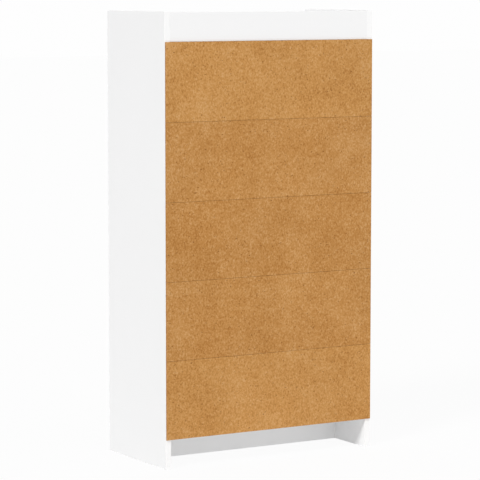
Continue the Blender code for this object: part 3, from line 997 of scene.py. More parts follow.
class Pen:
    """Draws half a section for turning, point by point."""

    def __init__(self, radius: float, height: float) -> None:
        """Start the section at a point."""
        self.points = [(radius, height)]

    def to(self, radius: float, height: float) -> Pen:
        """Draw a straight line to a point and return the pen."""
        self.points.append((radius, height))
        return self

    def arc(self, centre: Pair, radius: float, start: float, end: float, steps: int = 6) -> Pen:
        """Draw an arc.

        Args:
            centre: The arc's centre as (radius, height).
            radius: The arc's own radius.
            start: First angle in degrees, 0 pointing outwards and 90 upwards.
            end: Last angle in degrees.
            steps: Number of straight pieces.

        Returns:
            The pen.
        """
        for step in range(steps + 1):
            angle = math.radians(start + (end - start) * step / steps)
            self.points.append((centre[0] + radius * math.cos(angle), centre[1] + radius * math.sin(angle)))
        return self


# ---- boards ----------------------------------------------------------------
class Edge(Enum):
    """A narrow side of a board, as its axis and direction."""

    LEFT = (0, -1)
    RIGHT = (0, 1)
    FRONT = (1, -1)
    REAR = (1, 1)
    BELOW = (2, -1)
    ABOVE = (2, 1)


@dataclass
class Board:
    """A coated chipboard piece with edge band on some of its narrow sides.

    The band is as wide as its edge and laps onto the broad faces by its own
    thickness, where a glue line shows.  A narrow side without band is bare and
    has crisp edges, and so has a banded end that butts against another board.
    """

    node: str
    banded: tuple[Edge, ...]
    bores: list[Bore] = field(default_factory=list)
    radius: float = 0.0008
    cut_radius: float = 0.00012
    segments: int = 4
    band: float = 0.0012
    line: float = 0.00012
    end_reach: float = 0.0
    sharp: tuple[Edge, ...] = ()
    square: float = 0.99
    flat: float = 0.9999
    thin: int = field(init=False)

    def __post_init__(self) -> None:
        """Note the board's thin axis."""
        self.thin = Space.of(self.node).thin_axis

    def build(self) -> bpy.types.Object:
        """Make the board and put it in place of its node.

        Returns:
            The board's piece.
        """
        space = Space.of(self.node)
        reach = Vector((self.end_reach, 0, 0))
        space = Space(space.low - reach, space.high + reach)
        bm = self.shape(space)
        self.dress(bm, space)
        finishes = [Finishes.BOARD_FACE, Finishes.EDGE_BAND, Finishes.CHIPBOARD_CORE]
        mesh = Bench.mesh(f"{self.node}_shape", bm, finishes)
        mesh = Bench.drilled(mesh, self.bores, Finishes.CHIPBOARD_CORE)
        piece = Bench.fit(f"{self.node}_piece", Bench.crisp(mesh), self.node, "white_board")
        return Bench.even_shading(piece)

    def side_of(self, normal: Vector) -> Edge | None:
        """Tell which narrow side a face belongs to.

        Args:
            normal: The face's normal.

        Returns:
            The narrow side, or None for a broad or a slanting face.
        """
        for edge in Edge:
            axis, way = edge.value
            if axis != self.thin and normal[axis] * way > self.square:
                return edge
        return None

    def shape(self, space: Space) -> bmesh.types.BMesh:
        """Make the board with rounded edges beside the band and crisp cut ones elsewhere.

        Args:
            space: The board's extent.

        Returns:
            The shape.
        """
        bm = Bench.slab(space, 0)
        weight = bm.edges.layers.float.new("bevel_weight_edge")
        for edge in bm.edges:
            sides = [self.side_of(face.normal) for face in edge.link_faces]
            cut = any(side is not None and (side not in self.banded or side in self.sharp) for side in sides)
            edge[weight] = self.cut_radius / self.radius if cut else 1.0
        bm = Bench.rounded(bm, self.radius, self.segments)
        glue_line = ((self.line, -self.line / 2), (self.line, self.line / 2))
        for offset, rise in ((self.band - self.radius, 0.0), *glue_line):
            broad = [face for face in bm.faces if abs(face.normal[self.thin]) > self.flat]
            largest = max(face.calc_area() for face in broad)
            broad = [face for face in broad if face.calc_area() > 0.5 * largest]
            bmesh.ops.inset_individual(bm, faces=broad, thickness=offset, depth=rise, use_even_offset=True)
        return bm

    def dress(self, bm: bmesh.types.BMesh, space: Space) -> None:
        """Give each face its finish: coating, edge band or bare core.

        Args:
            bm: The board's shape.
            space: The board's extent.
        """
        for face in bm.faces:
            middle = face.calc_center_median()
            for edge in self.banded:
                axis, way = edge.value
                limit = (space.high if way > 0 else space.low)[axis] - way * self.radius * 1.01
                if (middle[axis] - limit) * way > 0:
                    face.material_index = 1
            side = self.side_of(face.normal)
            if side is not None and side not in self.banded:
                face.material_index = 2


@dataclass
class Carcass:
    """Side panels, the boards between them and the dowels that locate them."""

    hole_step: float = 0.032
    play: float = 0.0003
    pin_depth: float = 0.0085
    pin_bore: float = 0.0028
    bore_sides: int = 24
    cam_sides: int = 40
    shelves: int = 4
    dowel_radius: float = 0.004
    dowel_chamfer: float = 0.0008
    flutes: int = 20
    flute_depth: float = 0.00025
    end_reach: float = 0.00028

    def build(self) -> None:
        """Make every fixed board and its dowels."""
        for side in SIDES:
            self.side_panel(side)
        ends = (Edge.LEFT, Edge.RIGHT)
        for level, inwards in (("bottom", 1), ("top", -1)):
            bores = self.level_bores(level, inwards)
            Board(f"{level}_board", (Edge.FRONT, *ends), bores, end_reach=self.end_reach, sharp=ends).build()
        for node, board, long_edge in (("rear_rail", "rail", Edge.ABOVE), ("kick_board", "kick", Edge.BELOW)):
            bores = self.dowel_bores(board)
            Board(node, (long_edge, *ends), bores, end_reach=self.end_reach, sharp=ends).build()
        self.dowels()

    def side_panel(self, side: str) -> None:
        """Make a side panel with its pin holes and dowel holes.

        Args:
            side: left or right.
        """
        sign = SIDES[side]
        panel = Space.of(f"side_panel_{side}")
        inner = panel.low.x if sign > 0 else panel.high.x
        bores = []
        for number in range(1, self.shelves + 1):
            for row in ROWS:
                pin = Space.of(f"shelf_{number}_pin_{side}_{row}").middle
                for step in (-1, 0, 1):
                    height = pin.z + step * self.hole_step
                    mouth = Vector((inner - sign * self.play, pin.y, height))
                    deep = Vector((inner + sign * (self.pin_depth + self.play), pin.y, height))
                    bores.append(Bore(mouth, deep, self.pin_bore, self.bore_sides))
        for board in ("rail", "kick"):
            dowel = Space.of(f"{board}_dowel_{side}")
            outer = dowel.high.x if sign > 0 else dowel.low.x
            mouth = Vector((inner - sign * self.play, dowel.middle.y, dowel.middle.z))
            deep = Vector((outer + sign * self.play, dowel.middle.y, dowel.middle.z))
            bores.append(Bore(mouth, deep, self.dowel_radius + self.play, self.bore_sides))
        Board(f"side_panel_{side}", (Edge.FRONT, Edge.REAR, Edge.ABOVE), bores).build()

    def level_bores(self, level: str, inwards: int) -> list[Bore]:
        """Place the bores of the top or the bottom board, for cam locks and door pivots.

        Args:
            level: top or bottom.
            inwards: 1 where the door pivots stand on the board, -1 where they hang from it.

        Returns:
            The bores.
        """
        bores = []
        for side in SIDES:
            for row in ROWS:
                cam = Space.of(f"cam_{level}_{side}_{row}")
                mouth = Vector((cam.middle.x, cam.middle.y, cam.low.z - 2 * self.play))
                deep = Vector((cam.middle.x, cam.middle.y, cam.high.z + self.play))
                bores.append(Bore(mouth, deep, cam.size.x / 2 + self.play, self.cam_sides))
            pin = Space.of(f"pivot_pin_{side}_{level}")
            board = Space.of(f"{level}_board")
            face = (board.high if inwards > 0 else board.low).z
            end = (pin.low if inwards > 0 else pin.high).z
            mouth = Vector((pin.middle.x, pin.middle.y, face + inwards * self.play))
            deep = Vector((pin.middle.x, pin.middle.y, end - inwards * self.play))
            bores.append(Bore(mouth, deep, self.pin_bore, self.bore_sides))
        return bores

    def dowel_bores(self, board: str) -> list[Bore]:
        """Place the dowel holes in the ends of the rail or the kick board.

        Args:
            board: rail or kick.

        Returns:
            The bores.
        """
        bores = []
        node = {"rail": "rear_rail", "kick": "kick_board"}[board]
        for side, sign in SIDES.items():
            dowel = Space.of(f"{board}_dowel_{side}")
            end = (Space.of(node).high if sign > 0 else Space.of(node).low).x
            inner = (dowel.low if sign > 0 else dowel.high).x
            mouth = Vector((end + sign * self.play, dowel.middle.y, dowel.middle.z))
            deep = Vector((inner - sign * 2 * self.play, dowel.middle.y, dowel.middle.z))
            bores.append(Bore(mouth, deep, self.dowel_radius + self.play, self.bore_sides))
        return bores

    def dowels(self) -> None:
        """Make the fluted dowels from one mesh."""
        mesh = self.dowel(Space.of("rail_dowel_left").size.x)
        for board in ("rail", "kick"):
            for side, sign in SIDES.items():
                node = f"{board}_dowel_{side}"
                space = Space.of(node)
                start = Vector(((space.low if sign > 0 else space.high).x, space.middle.y, space.middle.z))
                Bench.fit(f"{node}_piece", mesh, node, "beech", Seat(start, Vector((sign, 0, 0))))

    def dowel(self, length: float) -> bpy.types.Mesh:
        """Make a dowel's mesh, standing on z = 0.

        Args:
            length: The dowel's length.

        Returns:
            The mesh.
        """
        bm = bmesh.new()
        tip = self.dowel_radius - self.dowel_chamfer
        levels = (
            (0.0, tip),
            (self.dowel_chamfer, self.dowel_radius),
            (length - self.dowel_chamfer, self.dowel_radius),
            (length, tip),
        )
        loops = []
        for height, radius in levels:
            loop = []
            for index in range(self.flutes * 2):
                angle = math.pi * index / self.flutes
                reach = radius - (self.flute_depth if index % 2 else 0)
                loop.append(bm.verts.new((reach * math.cos(angle), reach * math.sin(angle), height)))
            loops.append(loop)
        for lower, upper in zip(loops, loops[1:]):
            for index in range(len(lower)):
                after = (index + 1) % len(lower)
                bm.faces.new((lower[index], lower[after], upper[after], upper[index]))
        bm.faces.new(loops[0][::-1])
        bm.faces.new(loops[-1])
        return Bench.crisp(Bench.mesh("fluted_dowel", bm, [Finishes.BEECH]), 20.0)


@dataclass
class HardboardBack:
    """Hardboard strips, coated inside, with paper tape over the seams between them."""

    strips: int = 5
    rounding: float = 0.00025
    seam_reach: float = 0.00007
    tape_width: float = 0.022
    tape_low: float = 0.00025
    tape_high: float = 0.00008
    tape_inset: float = 0.0155
    tape_rounding: float = 0.00004
    facing: float = 0.9
    kraft: Finishes = Finishes.HARDBOARD_PALE
    tones: tuple[Finishes, ...] = (
        Finishes.HARDBOARD_PALE,
        Finishes.HARDBOARD_EVEN,
        Finishes.HARDBOARD_DEEP,
        Finishes.HARDBOARD_EVEN,
        Finishes.HARDBOARD_PALE,
    )

    def build(self) -> None:
        """Make the strips and the tapes."""
        for number in range(1, self.strips + 1):
            self.strip(number)
        for number in range(1, self.strips):
            self.tape(number)

    def strip(self, number: int) -> None:
        """Make one strip.

        Args:
            number: The strip's number, counted from the bottom.
        """
        node = f"back_strip_{number}"
        reach = Vector((0.0, 0.0, self.seam_reach))
        space = Space(Space.of(node).low - reach, Space.of(node).high + reach)
        bm = Bench.slab(space, self.rounding, 2)
        for face in bm.faces:
            if face.normal.y < -self.facing:
                face.material_index = 1
            elif face.normal.y < self.facing:
                face.material_index = 2
        finishes = [self.tones[number - 1], Finishes.BACK_FILM, Finishes.HARDBOARD_CUT]
        mesh = Bench.crisp(Bench.mesh(f"{node}_shape", bm, finishes), 50.0)
        Bench.even_shading(Bench.fit(f"{node}_piece", mesh, node, "hardboard"))

    def tape(self, number: int) -> None:
        """Make the tape that joins a strip to the one above.

        Args:
            number: The lower strip's number.
        """
        below = Space.of(f"back_strip_{number}")
        above = Space.of(f"back_strip_{number + 1}")
        seam = (below.high.z + above.low.z) / 2
        face = below.low.y
        low = Vector((below.low.x + self.tape_inset, face - self.tape_low, seam - self.tape_width / 2))
        high = Vector((below.high.x - self.tape_inset, face - self.tape_high, seam + self.tape_width / 2))
        bm = Bench.slab(Space(low, high), self.tape_rounding, 1)
        for face in bm.faces:
            face.material_index = int(face.normal.y > self.facing)
        mesh = Bench.mesh(f"seam_tape_{number}", bm, [Finishes.BACK_FILM, self.kraft])
        Bench.extra(f"seam_tape_{number}", Bench.crisp(mesh), "back_strip_1", "hardboard")


@dataclass
class Shelves:
    """Loose shelves on collared metal pins."""

    count: int = 4
    pin_radius: float = 0.0025
    collar_radius: float = 0.0036
    collar_start: float = 0.0088
    collar_end: float = 0.0100
    length: float = 0.0165
    tip: float = 0.0007
    lip: float = 0.00025
    fillet: float = 0.0002
    sides: int = 40

    def build(self) -> None:
        """Make the shelves and their pins."""
        pin = self.pin()
        for number in range(1, self.count + 1):
            Board(f"shelf_{number}", (Edge.FRONT,)).build()
            for side, sign in SIDES.items():
                for row in ROWS:
                    node = f"shelf_{number}_pin_{side}_{row}"
                    space = Space.of(node)
                    deep = (space.high if sign > 0 else space.low).x
                    seat = Seat(Vector((deep, space.middle.y, space.middle.z)), Vector((-sign, 0, 0)))
                    Bench.fit(f"{node}_piece", pin, node, "zinc", seat)

    def pin(self) -> bpy.types.Mesh:
        """Make the pin's mesh, from its deep end up to its tip.

        Returns:
            The mesh.
        """
        lip, rim = self.lip, self.collar_radius - self.lip
        pen = Pen(0, 0).to(self.pin_radius - self.tip, 0)
        pen.arc((self.pin_radius - self.tip, self.tip), self.tip, -90, 0)
        pen.to(self.pin_radius, self.collar_start)
        pen.arc((rim, self.collar_start + lip), lip, -90, 0, 4)
        pen.arc((rim, self.collar_end - lip), lip, 0, 90, 4)
        pen.to(self.pin_radius + self.fillet, self.collar_end)
        pen.to(self.pin_radius, self.collar_end + self.fillet)
        pen.arc((self.pin_radius - self.tip, self.length - self.tip), self.tip, 0, 90)
        pen.to(0, self.length)
        return Bench.turned("shelf_pin", pen.points, self.sides, Finishes.ZINC)


# ---- fittings --------------------------------------------------------------
@dataclass
class CamLocks:
    """Cam locks in the undersides of the top and the bottom board.

    The recess is given as its length, its width and its depth.
    """

    radius: float = 0.0075
    depth: float = 0.0115
    rim: float = 0.0007
    step: float = 0.00035
    bevel: float = 0.0002
    groove_top: float = 0.0032
    groove_slope: float = 0.0002
    groove_flat: float = 0.0004
    groove_depth: float = 0.0003
    recess: Point = (0.0085, 0.0018, 0.0026)
    sides: int = 48

    def build(self) -> None:
        """Make the eight cam locks from one mesh."""
        mesh = self.lock()
        for level in ("top", "bottom"):
            for side in SIDES:
                for row in ROWS:
                    node = f"cam_{level}_{side}_{row}"
                    space = Space.of(node)
                    mouth = Vector((space.middle.x, space.middle.y, space.low.z))
                    Bench.fit(f"{node}_piece", mesh, node, "zinc", Seat(mouth, Vector((0, 0, -1))))

    def lock(self) -> bpy.types.Mesh:
        """Make the lock's mesh, its face at z = 0 and its body below.

        Returns:
            The mesh.
        """
        bevel = self.bevel
        inner = self.radius - self.rim
        waist = self.radius - self.groove_depth
        upper = -self.groove_top - self.groove_slope
        lower = upper - self.groove_flat
        pen = Pen(0, -self.depth).to(self.radius - bevel, -self.depth).to(self.radius, -self.depth + bevel)
        pen.to(self.radius, lower - self.groove_slope).to(waist, lower).to(waist, upper)
        pen.to(self.radius, -self.groove_top)
        pen.arc((self.radius - bevel, -bevel), bevel, 0, 90, 3)
        pen.to(inner, 0).to(inner - bevel, -self.step).to(0, -self.step)
        mesh = Bench.turned("cam_lock", pen.points, self.sides, Finishes.ZINC)
        cutter = Bench.cross_recess(*self.recess, Finishes.ZINC)
        cutter.transform(Matrix.Translation((0, 0, -self.step)))
        return Bench.crisp(Bench.carved(mesh, cutter))


@dataclass
class Screws:
    """Small cross-recess screws, in shares of the head's radius and height."""

    sides: int = 36
    steps: int = 6
    point: float = 0.8
    slot_width: float = 0.24
    slot_depth: float = 0.7
    rim: float = 0.97
    wall: float = 0.3
    crown: float = 0.45
    rise: float = 0.62

    def pan(self, radius: float, height: float, shank: float, length: float) -> bpy.types.Mesh:
        """Make a pan-head screw, the head's seat at z = 0 and the shank below.

        Args:
            radius: The head's radius.
            height: The head's height.
            shank: The shank's radius.
            length: The shank's length.

        Returns:
            The mesh.
        """
        pen = Pen(0, -length).to(shank * self.point, -length).to(shank, -length + shank / 2).to(shank, 0)
        pen.to(radius * self.rim, 0).to(radius, height * 0.08).to(radius, height * self.wall)
        for step in range(1, self.steps + 1):
            angle = math.radians(90 * step / self.steps)
            reach = self.crown + (1 - self.crown) * math.cos(angle)
            pen.to(radius * reach, height * (self.wall + self.rise * math.sin(angle)))
        pen.to(0, height)
        mesh = Bench.turned("pan_screw", pen.points, self.sides, Finishes.ZINC)
        slot = (radius * 1.05, radius * self.slot_width, height * self.slot_depth)
        cutter = Bench.cross_recess(*slot, Finishes.ZINC)
        cutter.transform(Matrix.Translation((0, 0, height * 0.96)))
        return Bench.crisp(Bench.carved(mesh, cutter))

    def countersunk(self, radius: float, cone: float) -> bpy.types.Mesh:
        """Make a countersunk head, its flat face at z = 0.

        Args:
            radius: The head's radius.
            cone: Height of the cone below the rim.

        Returns:
            The mesh.
        """
        edge = cone / 8
        pen = Pen(0, -cone).to(radius / 2, -cone).to(radius, -edge).to(radius, -edge * 0.4)
        pen.to(radius * self.rim, 0).to(0, edge * 0.8)
        mesh = Bench.turned("flat_screw", pen.points, self.sides, Finishes.ZINC)
        slot = (radius * 1.1, radius * self.slot_width, cone * self.slot_depth)
        cutter = Bench.cross_recess(*slot, Finishes.ZINC)
        return Bench.crisp(Bench.carved(mesh, cutter))


@dataclass
class Pivot:
    """A ribbed pivot pin that stands in a board, and the flanged bush that turns on it.

    A ring's profile gives the heights above its start where the groove begins,
    where it ends and where the pin is full again.  The bush's lead is how far its
    tip tapers, inwards and along.
    """

    play: float = 0.0003
    pin_radius: float = 0.0025
    pin_in_board: float = 0.010
    pin_lead: float = 0.0003
    tip: float = 0.0009
    rings: int = 4
    ring_start: float = 0.0016
    ring_pitch: float = 0.002
    ring_depth: float = 0.0002
    ring_profile: Point = (0.0003, 0.0008, 0.0011)
    bush_bore: float = 0.0028
    bush_radius: float = 0.0042
    bush_lead: Pair = (0.0005, 0.0008)
    flange_radius: float = 0.0055
    flange: float = 0.00105
    edge: float = 0.0002
    sides: int = 48

    def pin(self) -> bpy.types.Mesh:
        """Make a pivot pin's mesh, from its end in the board up to its tip in the door.

        Returns:
            The mesh.
        """
        length = Space.of("pivot_pin_left_bottom").size.z
        washer = self.pin_in_board + self.play
        groove = self.pin_radius - self.ring_depth
        pen = Pen(0, 0).to(self.pin_radius - self.pin_lead, 0).to(self.pin_radius, self.pin_lead)
        for ring in range(self.rings):
            height = self.ring_start + ring * self.ring_pitch
            down, up, out = (height + step for step in self.ring_profile)
            pen.to(self.pin_radius, height).to(groove, down).to(groove, up).to(self.pin_radius, out)
        pen.to(self.pin_radius, washer)
        self.collar(pen, washer)
        pen.to(self.pin_radius, washer + self.flange)
        pen.arc((self.pin_radius - self.tip, length - self.tip), self.tip, 0, 90)
        pen.to(0, length)
        return Bench.turned("pivot_pin", pen.points, self.sides, Finishes.STEEL)

    def bush(self) -> bpy.types.Mesh:
        """Make a bush's mesh, its flange at z = 0 and its sleeve above.

        Returns:
            The mesh.
        """
        total = Space.of("bush_left_bottom").size.z
        bore = self.bush_bore
        pen = Pen(bore + self.edge, 0)
        self.collar(pen, 0)
        pen.to(self.bush_radius, self.flange).to(self.bush_radius, total - self.bush_lead[1])
        pen.to(self.bush_radius - self.bush_lead[0], total).to(bore + self.edge, total)
        pen.to(bore, total - self.edge).to(bore, self.edge)
        return Bench.turned("bush", pen.points, self.sides, Finishes.NYLON)

    def collar(self, pen: Pen, start: float) -> None:
        """Draw the rounded rim of a flange.

        Args:
            pen: The pen that draws the profile.
            start: Where the flange starts along the axis.
        """
        rim = self.flange_radius - self.edge
        pen.arc((rim, start + self.edge), self.edge, -90, 0, 3)
        pen.arc((rim, start + self.flange - self.edge), self.edge, 0, 90, 3)


@dataclass
class Knob:
    """A turned knob: a small foot, a slender stem and a bell that ends in a flat face.

    The face's ring is a row of radii, each with its depth below the face.
    """

    radius: float = 0.013
    length: float = 0.024
    foot: float = 0.0085
    stem: float = 0.0065
    bore: float = 0.0023
    bore_depth: float = 0.0103
    chamfer: float = 0.0003
    foot_edge: float = 0.0004
    foot_height: float = 0.0016
    flare: float = 0.0042
    flare_curve: float = 2.2
    flare_steps: int = 8
    neck: float = 0.0092
    bell: float = 0.0081
    bell_curve: float = 0.85
    bell_steps: int = 12
    shoulder: float = 0.018
    rim: float = 0.002
    rim_turn: float = 82.0
    face_ring: tuple[Pair, ...] = (
        (0.0098, 0.00002),
        (0.0096, 0.00018),
        (0.0093, 0.00018),
        (0.0091, 0.00002),
    )
    sides: int = 96

    def mesh(self) -> bpy.types.Mesh:
        """Make the knob's mesh, from its bored foot up to its face.

        Returns:
            The mesh.
        """
        edge, rim = self.foot_edge, self.rim
        pen = Pen(0, self.bore_depth).to(self.bore, self.bore_depth)
        pen.to(self.bore, self.chamfer).to(self.bore + self.chamfer, 0)
        pen.arc((self.foot - edge, edge), edge, -90, 0, 4)
        pen.arc((self.foot - edge, 3 * edge), edge, 0, 60, 3)
        taper = self.foot - 1.5 * edge - self.stem
        for step in range(1, self.flare_steps + 1):
            share = step / self.flare_steps
            pen.to(self.stem + taper * (1 - share) ** self.flare_curve, self.foot_height + self.flare * share)
        pen.to(self.stem, self.neck)
        for step in range(1, self.bell_steps + 1):
            share = step / self.bell_steps
            radius = self.radius - (self.radius - self.stem) * math.cos(share * math.pi / 2)
            pen.to(radius, self.neck + self.bell * share**self.bell_curve)
        pen.to(self.radius, self.shoulder)
        pen.arc((self.radius - rim, self.length - rim), rim, 0, self.rim_turn, 10)
        for radius, depth in self.face_ring:
            pen.to(radius, self.length - depth)
        pen.to(0, self.length)
        return Bench.turned("knob", pen.points, self.sides, Finishes.STEEL)


@dataclass
class Doors:
    """Doors with their pivot pins, bushes, knobs and knob screws.

    The screw's head is given as its radius and height, and its shank as its
    radius and length.
    """

    play: float = 0.0003
    bush_depth: float = 0.014
    bush_sides: int = 32
    bore_sides: int = 24
    screw_head: Pair = (0.004, 0.0022)
    screw_shank: Pair = (0.002, 0.0253)
    pivot: Pivot = field(default_factory=Pivot)
    knob: Knob = field(default_factory=Knob)
    screws: Screws = field(default_factory=Screws)

    def build(self) -> None:
        """Make both doors and everything that they turn on."""
        pin, bush, knob = self.pivot.pin(), self.pivot.bush(), self.knob.mesh()
        screw = self.screws.pan(*self.screw_head, *self.screw_shank)
        for side in SIDES:
            self.panel(side)
            for level, up in (("bottom", 1), ("top", -1)):
                axis = Vector((0, 0, up))
                self.turned_part(f"pivot_pin_{side}_{level}", pin, "steel", axis)
                self.turned_part(f"bush_{side}_{level}", bush, "nylon", axis)
            self.turned_part(f"knob_{side}", knob, "steel", Vector((0, -1, 0)))
            node = f"knob_screw_{side}"
            space = Space.of(node)
            under_head = Vector((space.middle.x, space.high.y - self.screw_head[1], space.middle.z))
            Bench.fit(f"{node}_piece", screw, node, "zinc", Seat(under_head, Vector((0, 1, 0))))

    @staticmethod
    def turned_part(node: str, mesh: bpy.types.Mesh, slot: str, axis: Vector) -> None:
        """Stand a turned mesh in place of a node, starting from the end that the axis points away from.

        Args:
            node: The node that it stands for.
            mesh: The mesh, which starts at z = 0.
            slot: The record's material slot.
            axis: Where the mesh's Z points.
        """
        space = Space.of(node)
        along = max(range(3), key=lambda index: abs(axis[index]))
        start = space.middle.copy()
        start[along] = (space.low if axis[along] > 0 else space.high)[along]
        Bench.fit(f"{node}_piece", mesh, node, slot, Seat(start, axis))

    def panel(self, side: str) -> None:
        """Make a door panel with the bores for its bushes and its knob screw.

        Args:
            side: left or right.
        """
        space = Space.of(f"door_{side}")
        bores = []
        for level, inwards in (("bottom", 1), ("top", -1)):
            bush = Space.of(f"bush_{side}_{level}").middle
            end = (space.low if inwards > 0 else space.high).z
            mouth = Vector((bush.x, bush.y, end - inwards * self.play))
            deep = Vector((bush.x, bush.y, end + inwards * self.bush_depth))
            bores.append(Bore(mouth, deep, self.pivot.bush_radius + self.play, self.bush_sides))
        knob = Space.of(f"knob_{side}").middle
        front = Vector((knob.x, space.low.y - self.play, knob.z))
        rear = Vector((knob.x, space.high.y + self.play, knob.z))
        bores.append(Bore(front, rear, self.knob.bore, self.bore_sides))
        edges = (Edge.LEFT, Edge.RIGHT, Edge.ABOVE, Edge.BELOW)
        Board(f"door_{side}", edges, bores).build()


@dataclass
class Catch:
    """Double magnetic catch under the top board, and the strike plates on the doors.

    The housing's screw hole is given as its depth and its radius at the bottom.
    """

    set_back: float = 0.0005
    rounding: float = 0.0012
    pole_width: float = 0.018
    pole_thickness: float = 0.0012
    pole_depth: float = 0.0075
    pole_short: float = 0.0003
    pole_edge: float = 0.00025
    pole_gap: float = 0.00003
    magnet_thickness: float = 0.0030
    magnet_back: float = 0.0004
    magnet_short: float = 0.0005
    magnet_edge: float = 0.0002
    pocket_play: float = 0.0003
    screw_radius: float = 0.0026
    screw_cone: float = 0.0008
    screw_back: float = 0.0037
    screw_sides: int = 36
    housing_hole: Pair = (0.0012, 0.0019)
    housing_play: float = 0.0006
    plate_hole: float = 0.0015
    plate_play: float = 0.0002
    plate_edge: float = 0.0003
    sunk: float = 0.00008
    clear: float = 0.0001
    screws: Screws = field(default_factory=Screws)

    def build(self) -> None:
        """Make the housing, its magnets and screws, and both strike plates."""
        space = Space.of("catch_body")
        head = self.screws.countersunk(self.screw_radius, self.screw_cone)
        self.housing(space)
        for side in SIDES:
            plate = Space.of(f"strike_plate_{side}")
            self.magnet(space, side, plate.middle)
            down = Vector((plate.middle.x, space.high.y - self.screw_back, space.low.z + self.clear))
            Bench.extra(f"catch_screw_{side}", head, "catch_body", "zinc", Seat(down, Vector((0, 0, -1))))
            self.strike(side, plate, head)

    def housing(self, space: Space) -> None:
        """Make the moulded housing with a pocket for each magnet.

        Args:
            space: The catch's extent.
        """
        shell = Space(space.low + Vector((0, self.set_back, 0)), space.high)
        mesh = Bench.mesh("catch_housing", Bench.slab(shell, self.rounding, 5), [Finishes.NYLON])
        height = self.magnet_thickness + 2 * self.pole_thickness + 2 * self.pocket_play
        for side in SIDES:
            middle = Space.of(f"strike_plate_{side}").middle
            half = Vector((self.pole_width / 2 + self.pocket_play, self.pole_depth, height / 2))
            centre = Vector((middle.x, space.low.y, middle.z))
            pocket = Bench.slab(Space(centre - half, centre + half), 0)
            mesh = Bench.carved(mesh, Bench.mesh("pocket", pocket, [Finishes.NYLON]))
        bores = []
        depth, bottom = self.housing_hole
        radius = self.screw_radius + self.housing_play
        for side in SIDES:
            x = Space.of(f"strike_plate_{side}").middle.x
            y = space.high.y - self.screw_back
            mouth = Vector((x, y, space.low.z - 2 * self.clear))
            deep = Vector((x, y, space.low.z + depth))
            bores.append(Bore(mouth, deep, radius, self.screw_sides, bottom))
        mesh = Bench.crisp(Bench.drilled(mesh, bores, Finishes.NYLON))
        Bench.even_shading(Bench.fit("catch_housing", mesh, "catch_body", "nylon"))

    def magnet(self, space: Space, side: str, middle: Vector) -> None:
        """Make a magnet between its two pole plates.

        Args:
            space: The catch's extent.
            side: left or right.
            middle: Middle of the strike plate that it pulls.
        """
        front = space.low.y
        half = self.magnet_thickness / 2
        left, right = middle.x - self.pole_width / 2, middle.x + self.pole_width / 2
        low = Vector((left, front + self.magnet_back, middle.z - half))
        high = Vector((right, front + self.pole_depth - self.magnet_short, middle.z + half))
        block = Bench.slab(Space(low, high), self.magnet_edge, 2)
        block = Bench.crisp(Bench.mesh("magnet", block, [Finishes.MAGNET]))
        Bench.extra(f"catch_magnet_{side}", block, "catch_body", "nylon")
        for name, way in (("lower", -1), ("upper", 1)):
            near = middle.z + way * (half + self.pole_gap)
            far = near + way * self.pole_thickness
            low = Vector((left, front, min(near, far)))
            high = Vector((right, front + self.pole_depth - self.pole_short, max(near, far)))
            plate = Bench.mesh("pole", Bench.slab(Space(low, high), self.pole_edge, 3), [Finishes.ZINC])
            Bench.extra(f"catch_pole_{side}_{name}", Bench.crisp(plate), "catch_body", "zinc")

    def strike(self, side: str, space: Space, head: bpy.types.Mesh) -> None:
        """Make a strike plate and its screw.

        Args:
            side: left or right.
            space: The plate's extent.
            head: The screw head's mesh.
        """
        mesh = Bench.mesh("strike", Bench.slab(space, self.plate_edge, 3), [Finishes.ZINC])
        hole = space.middle
        mouth = Vector((hole.x, space.high.y + self.clear, hole.z))
        deep = Vector((hole.x, space.low.y - self.clear, hole.z))
        radius = self.screw_radius + self.plate_play
        bore = Bore(mouth, deep, radius, self.screw_sides, self.plate_hole)
        mesh = Bench.crisp(Bench.drilled(mesh, [bore], Finishes.ZINC))
        node = f"strike_plate_{side}"
        Bench.even_shading(Bench.fit(f"{node}_piece", mesh, node, "zinc"))
        face = Vector((hole.x, space.high.y - self.sunk, hole.z))
        Bench.extra(f"strike_screw_{side}", head, node, "zinc", Seat(face, Vector((0, 1, 0))))


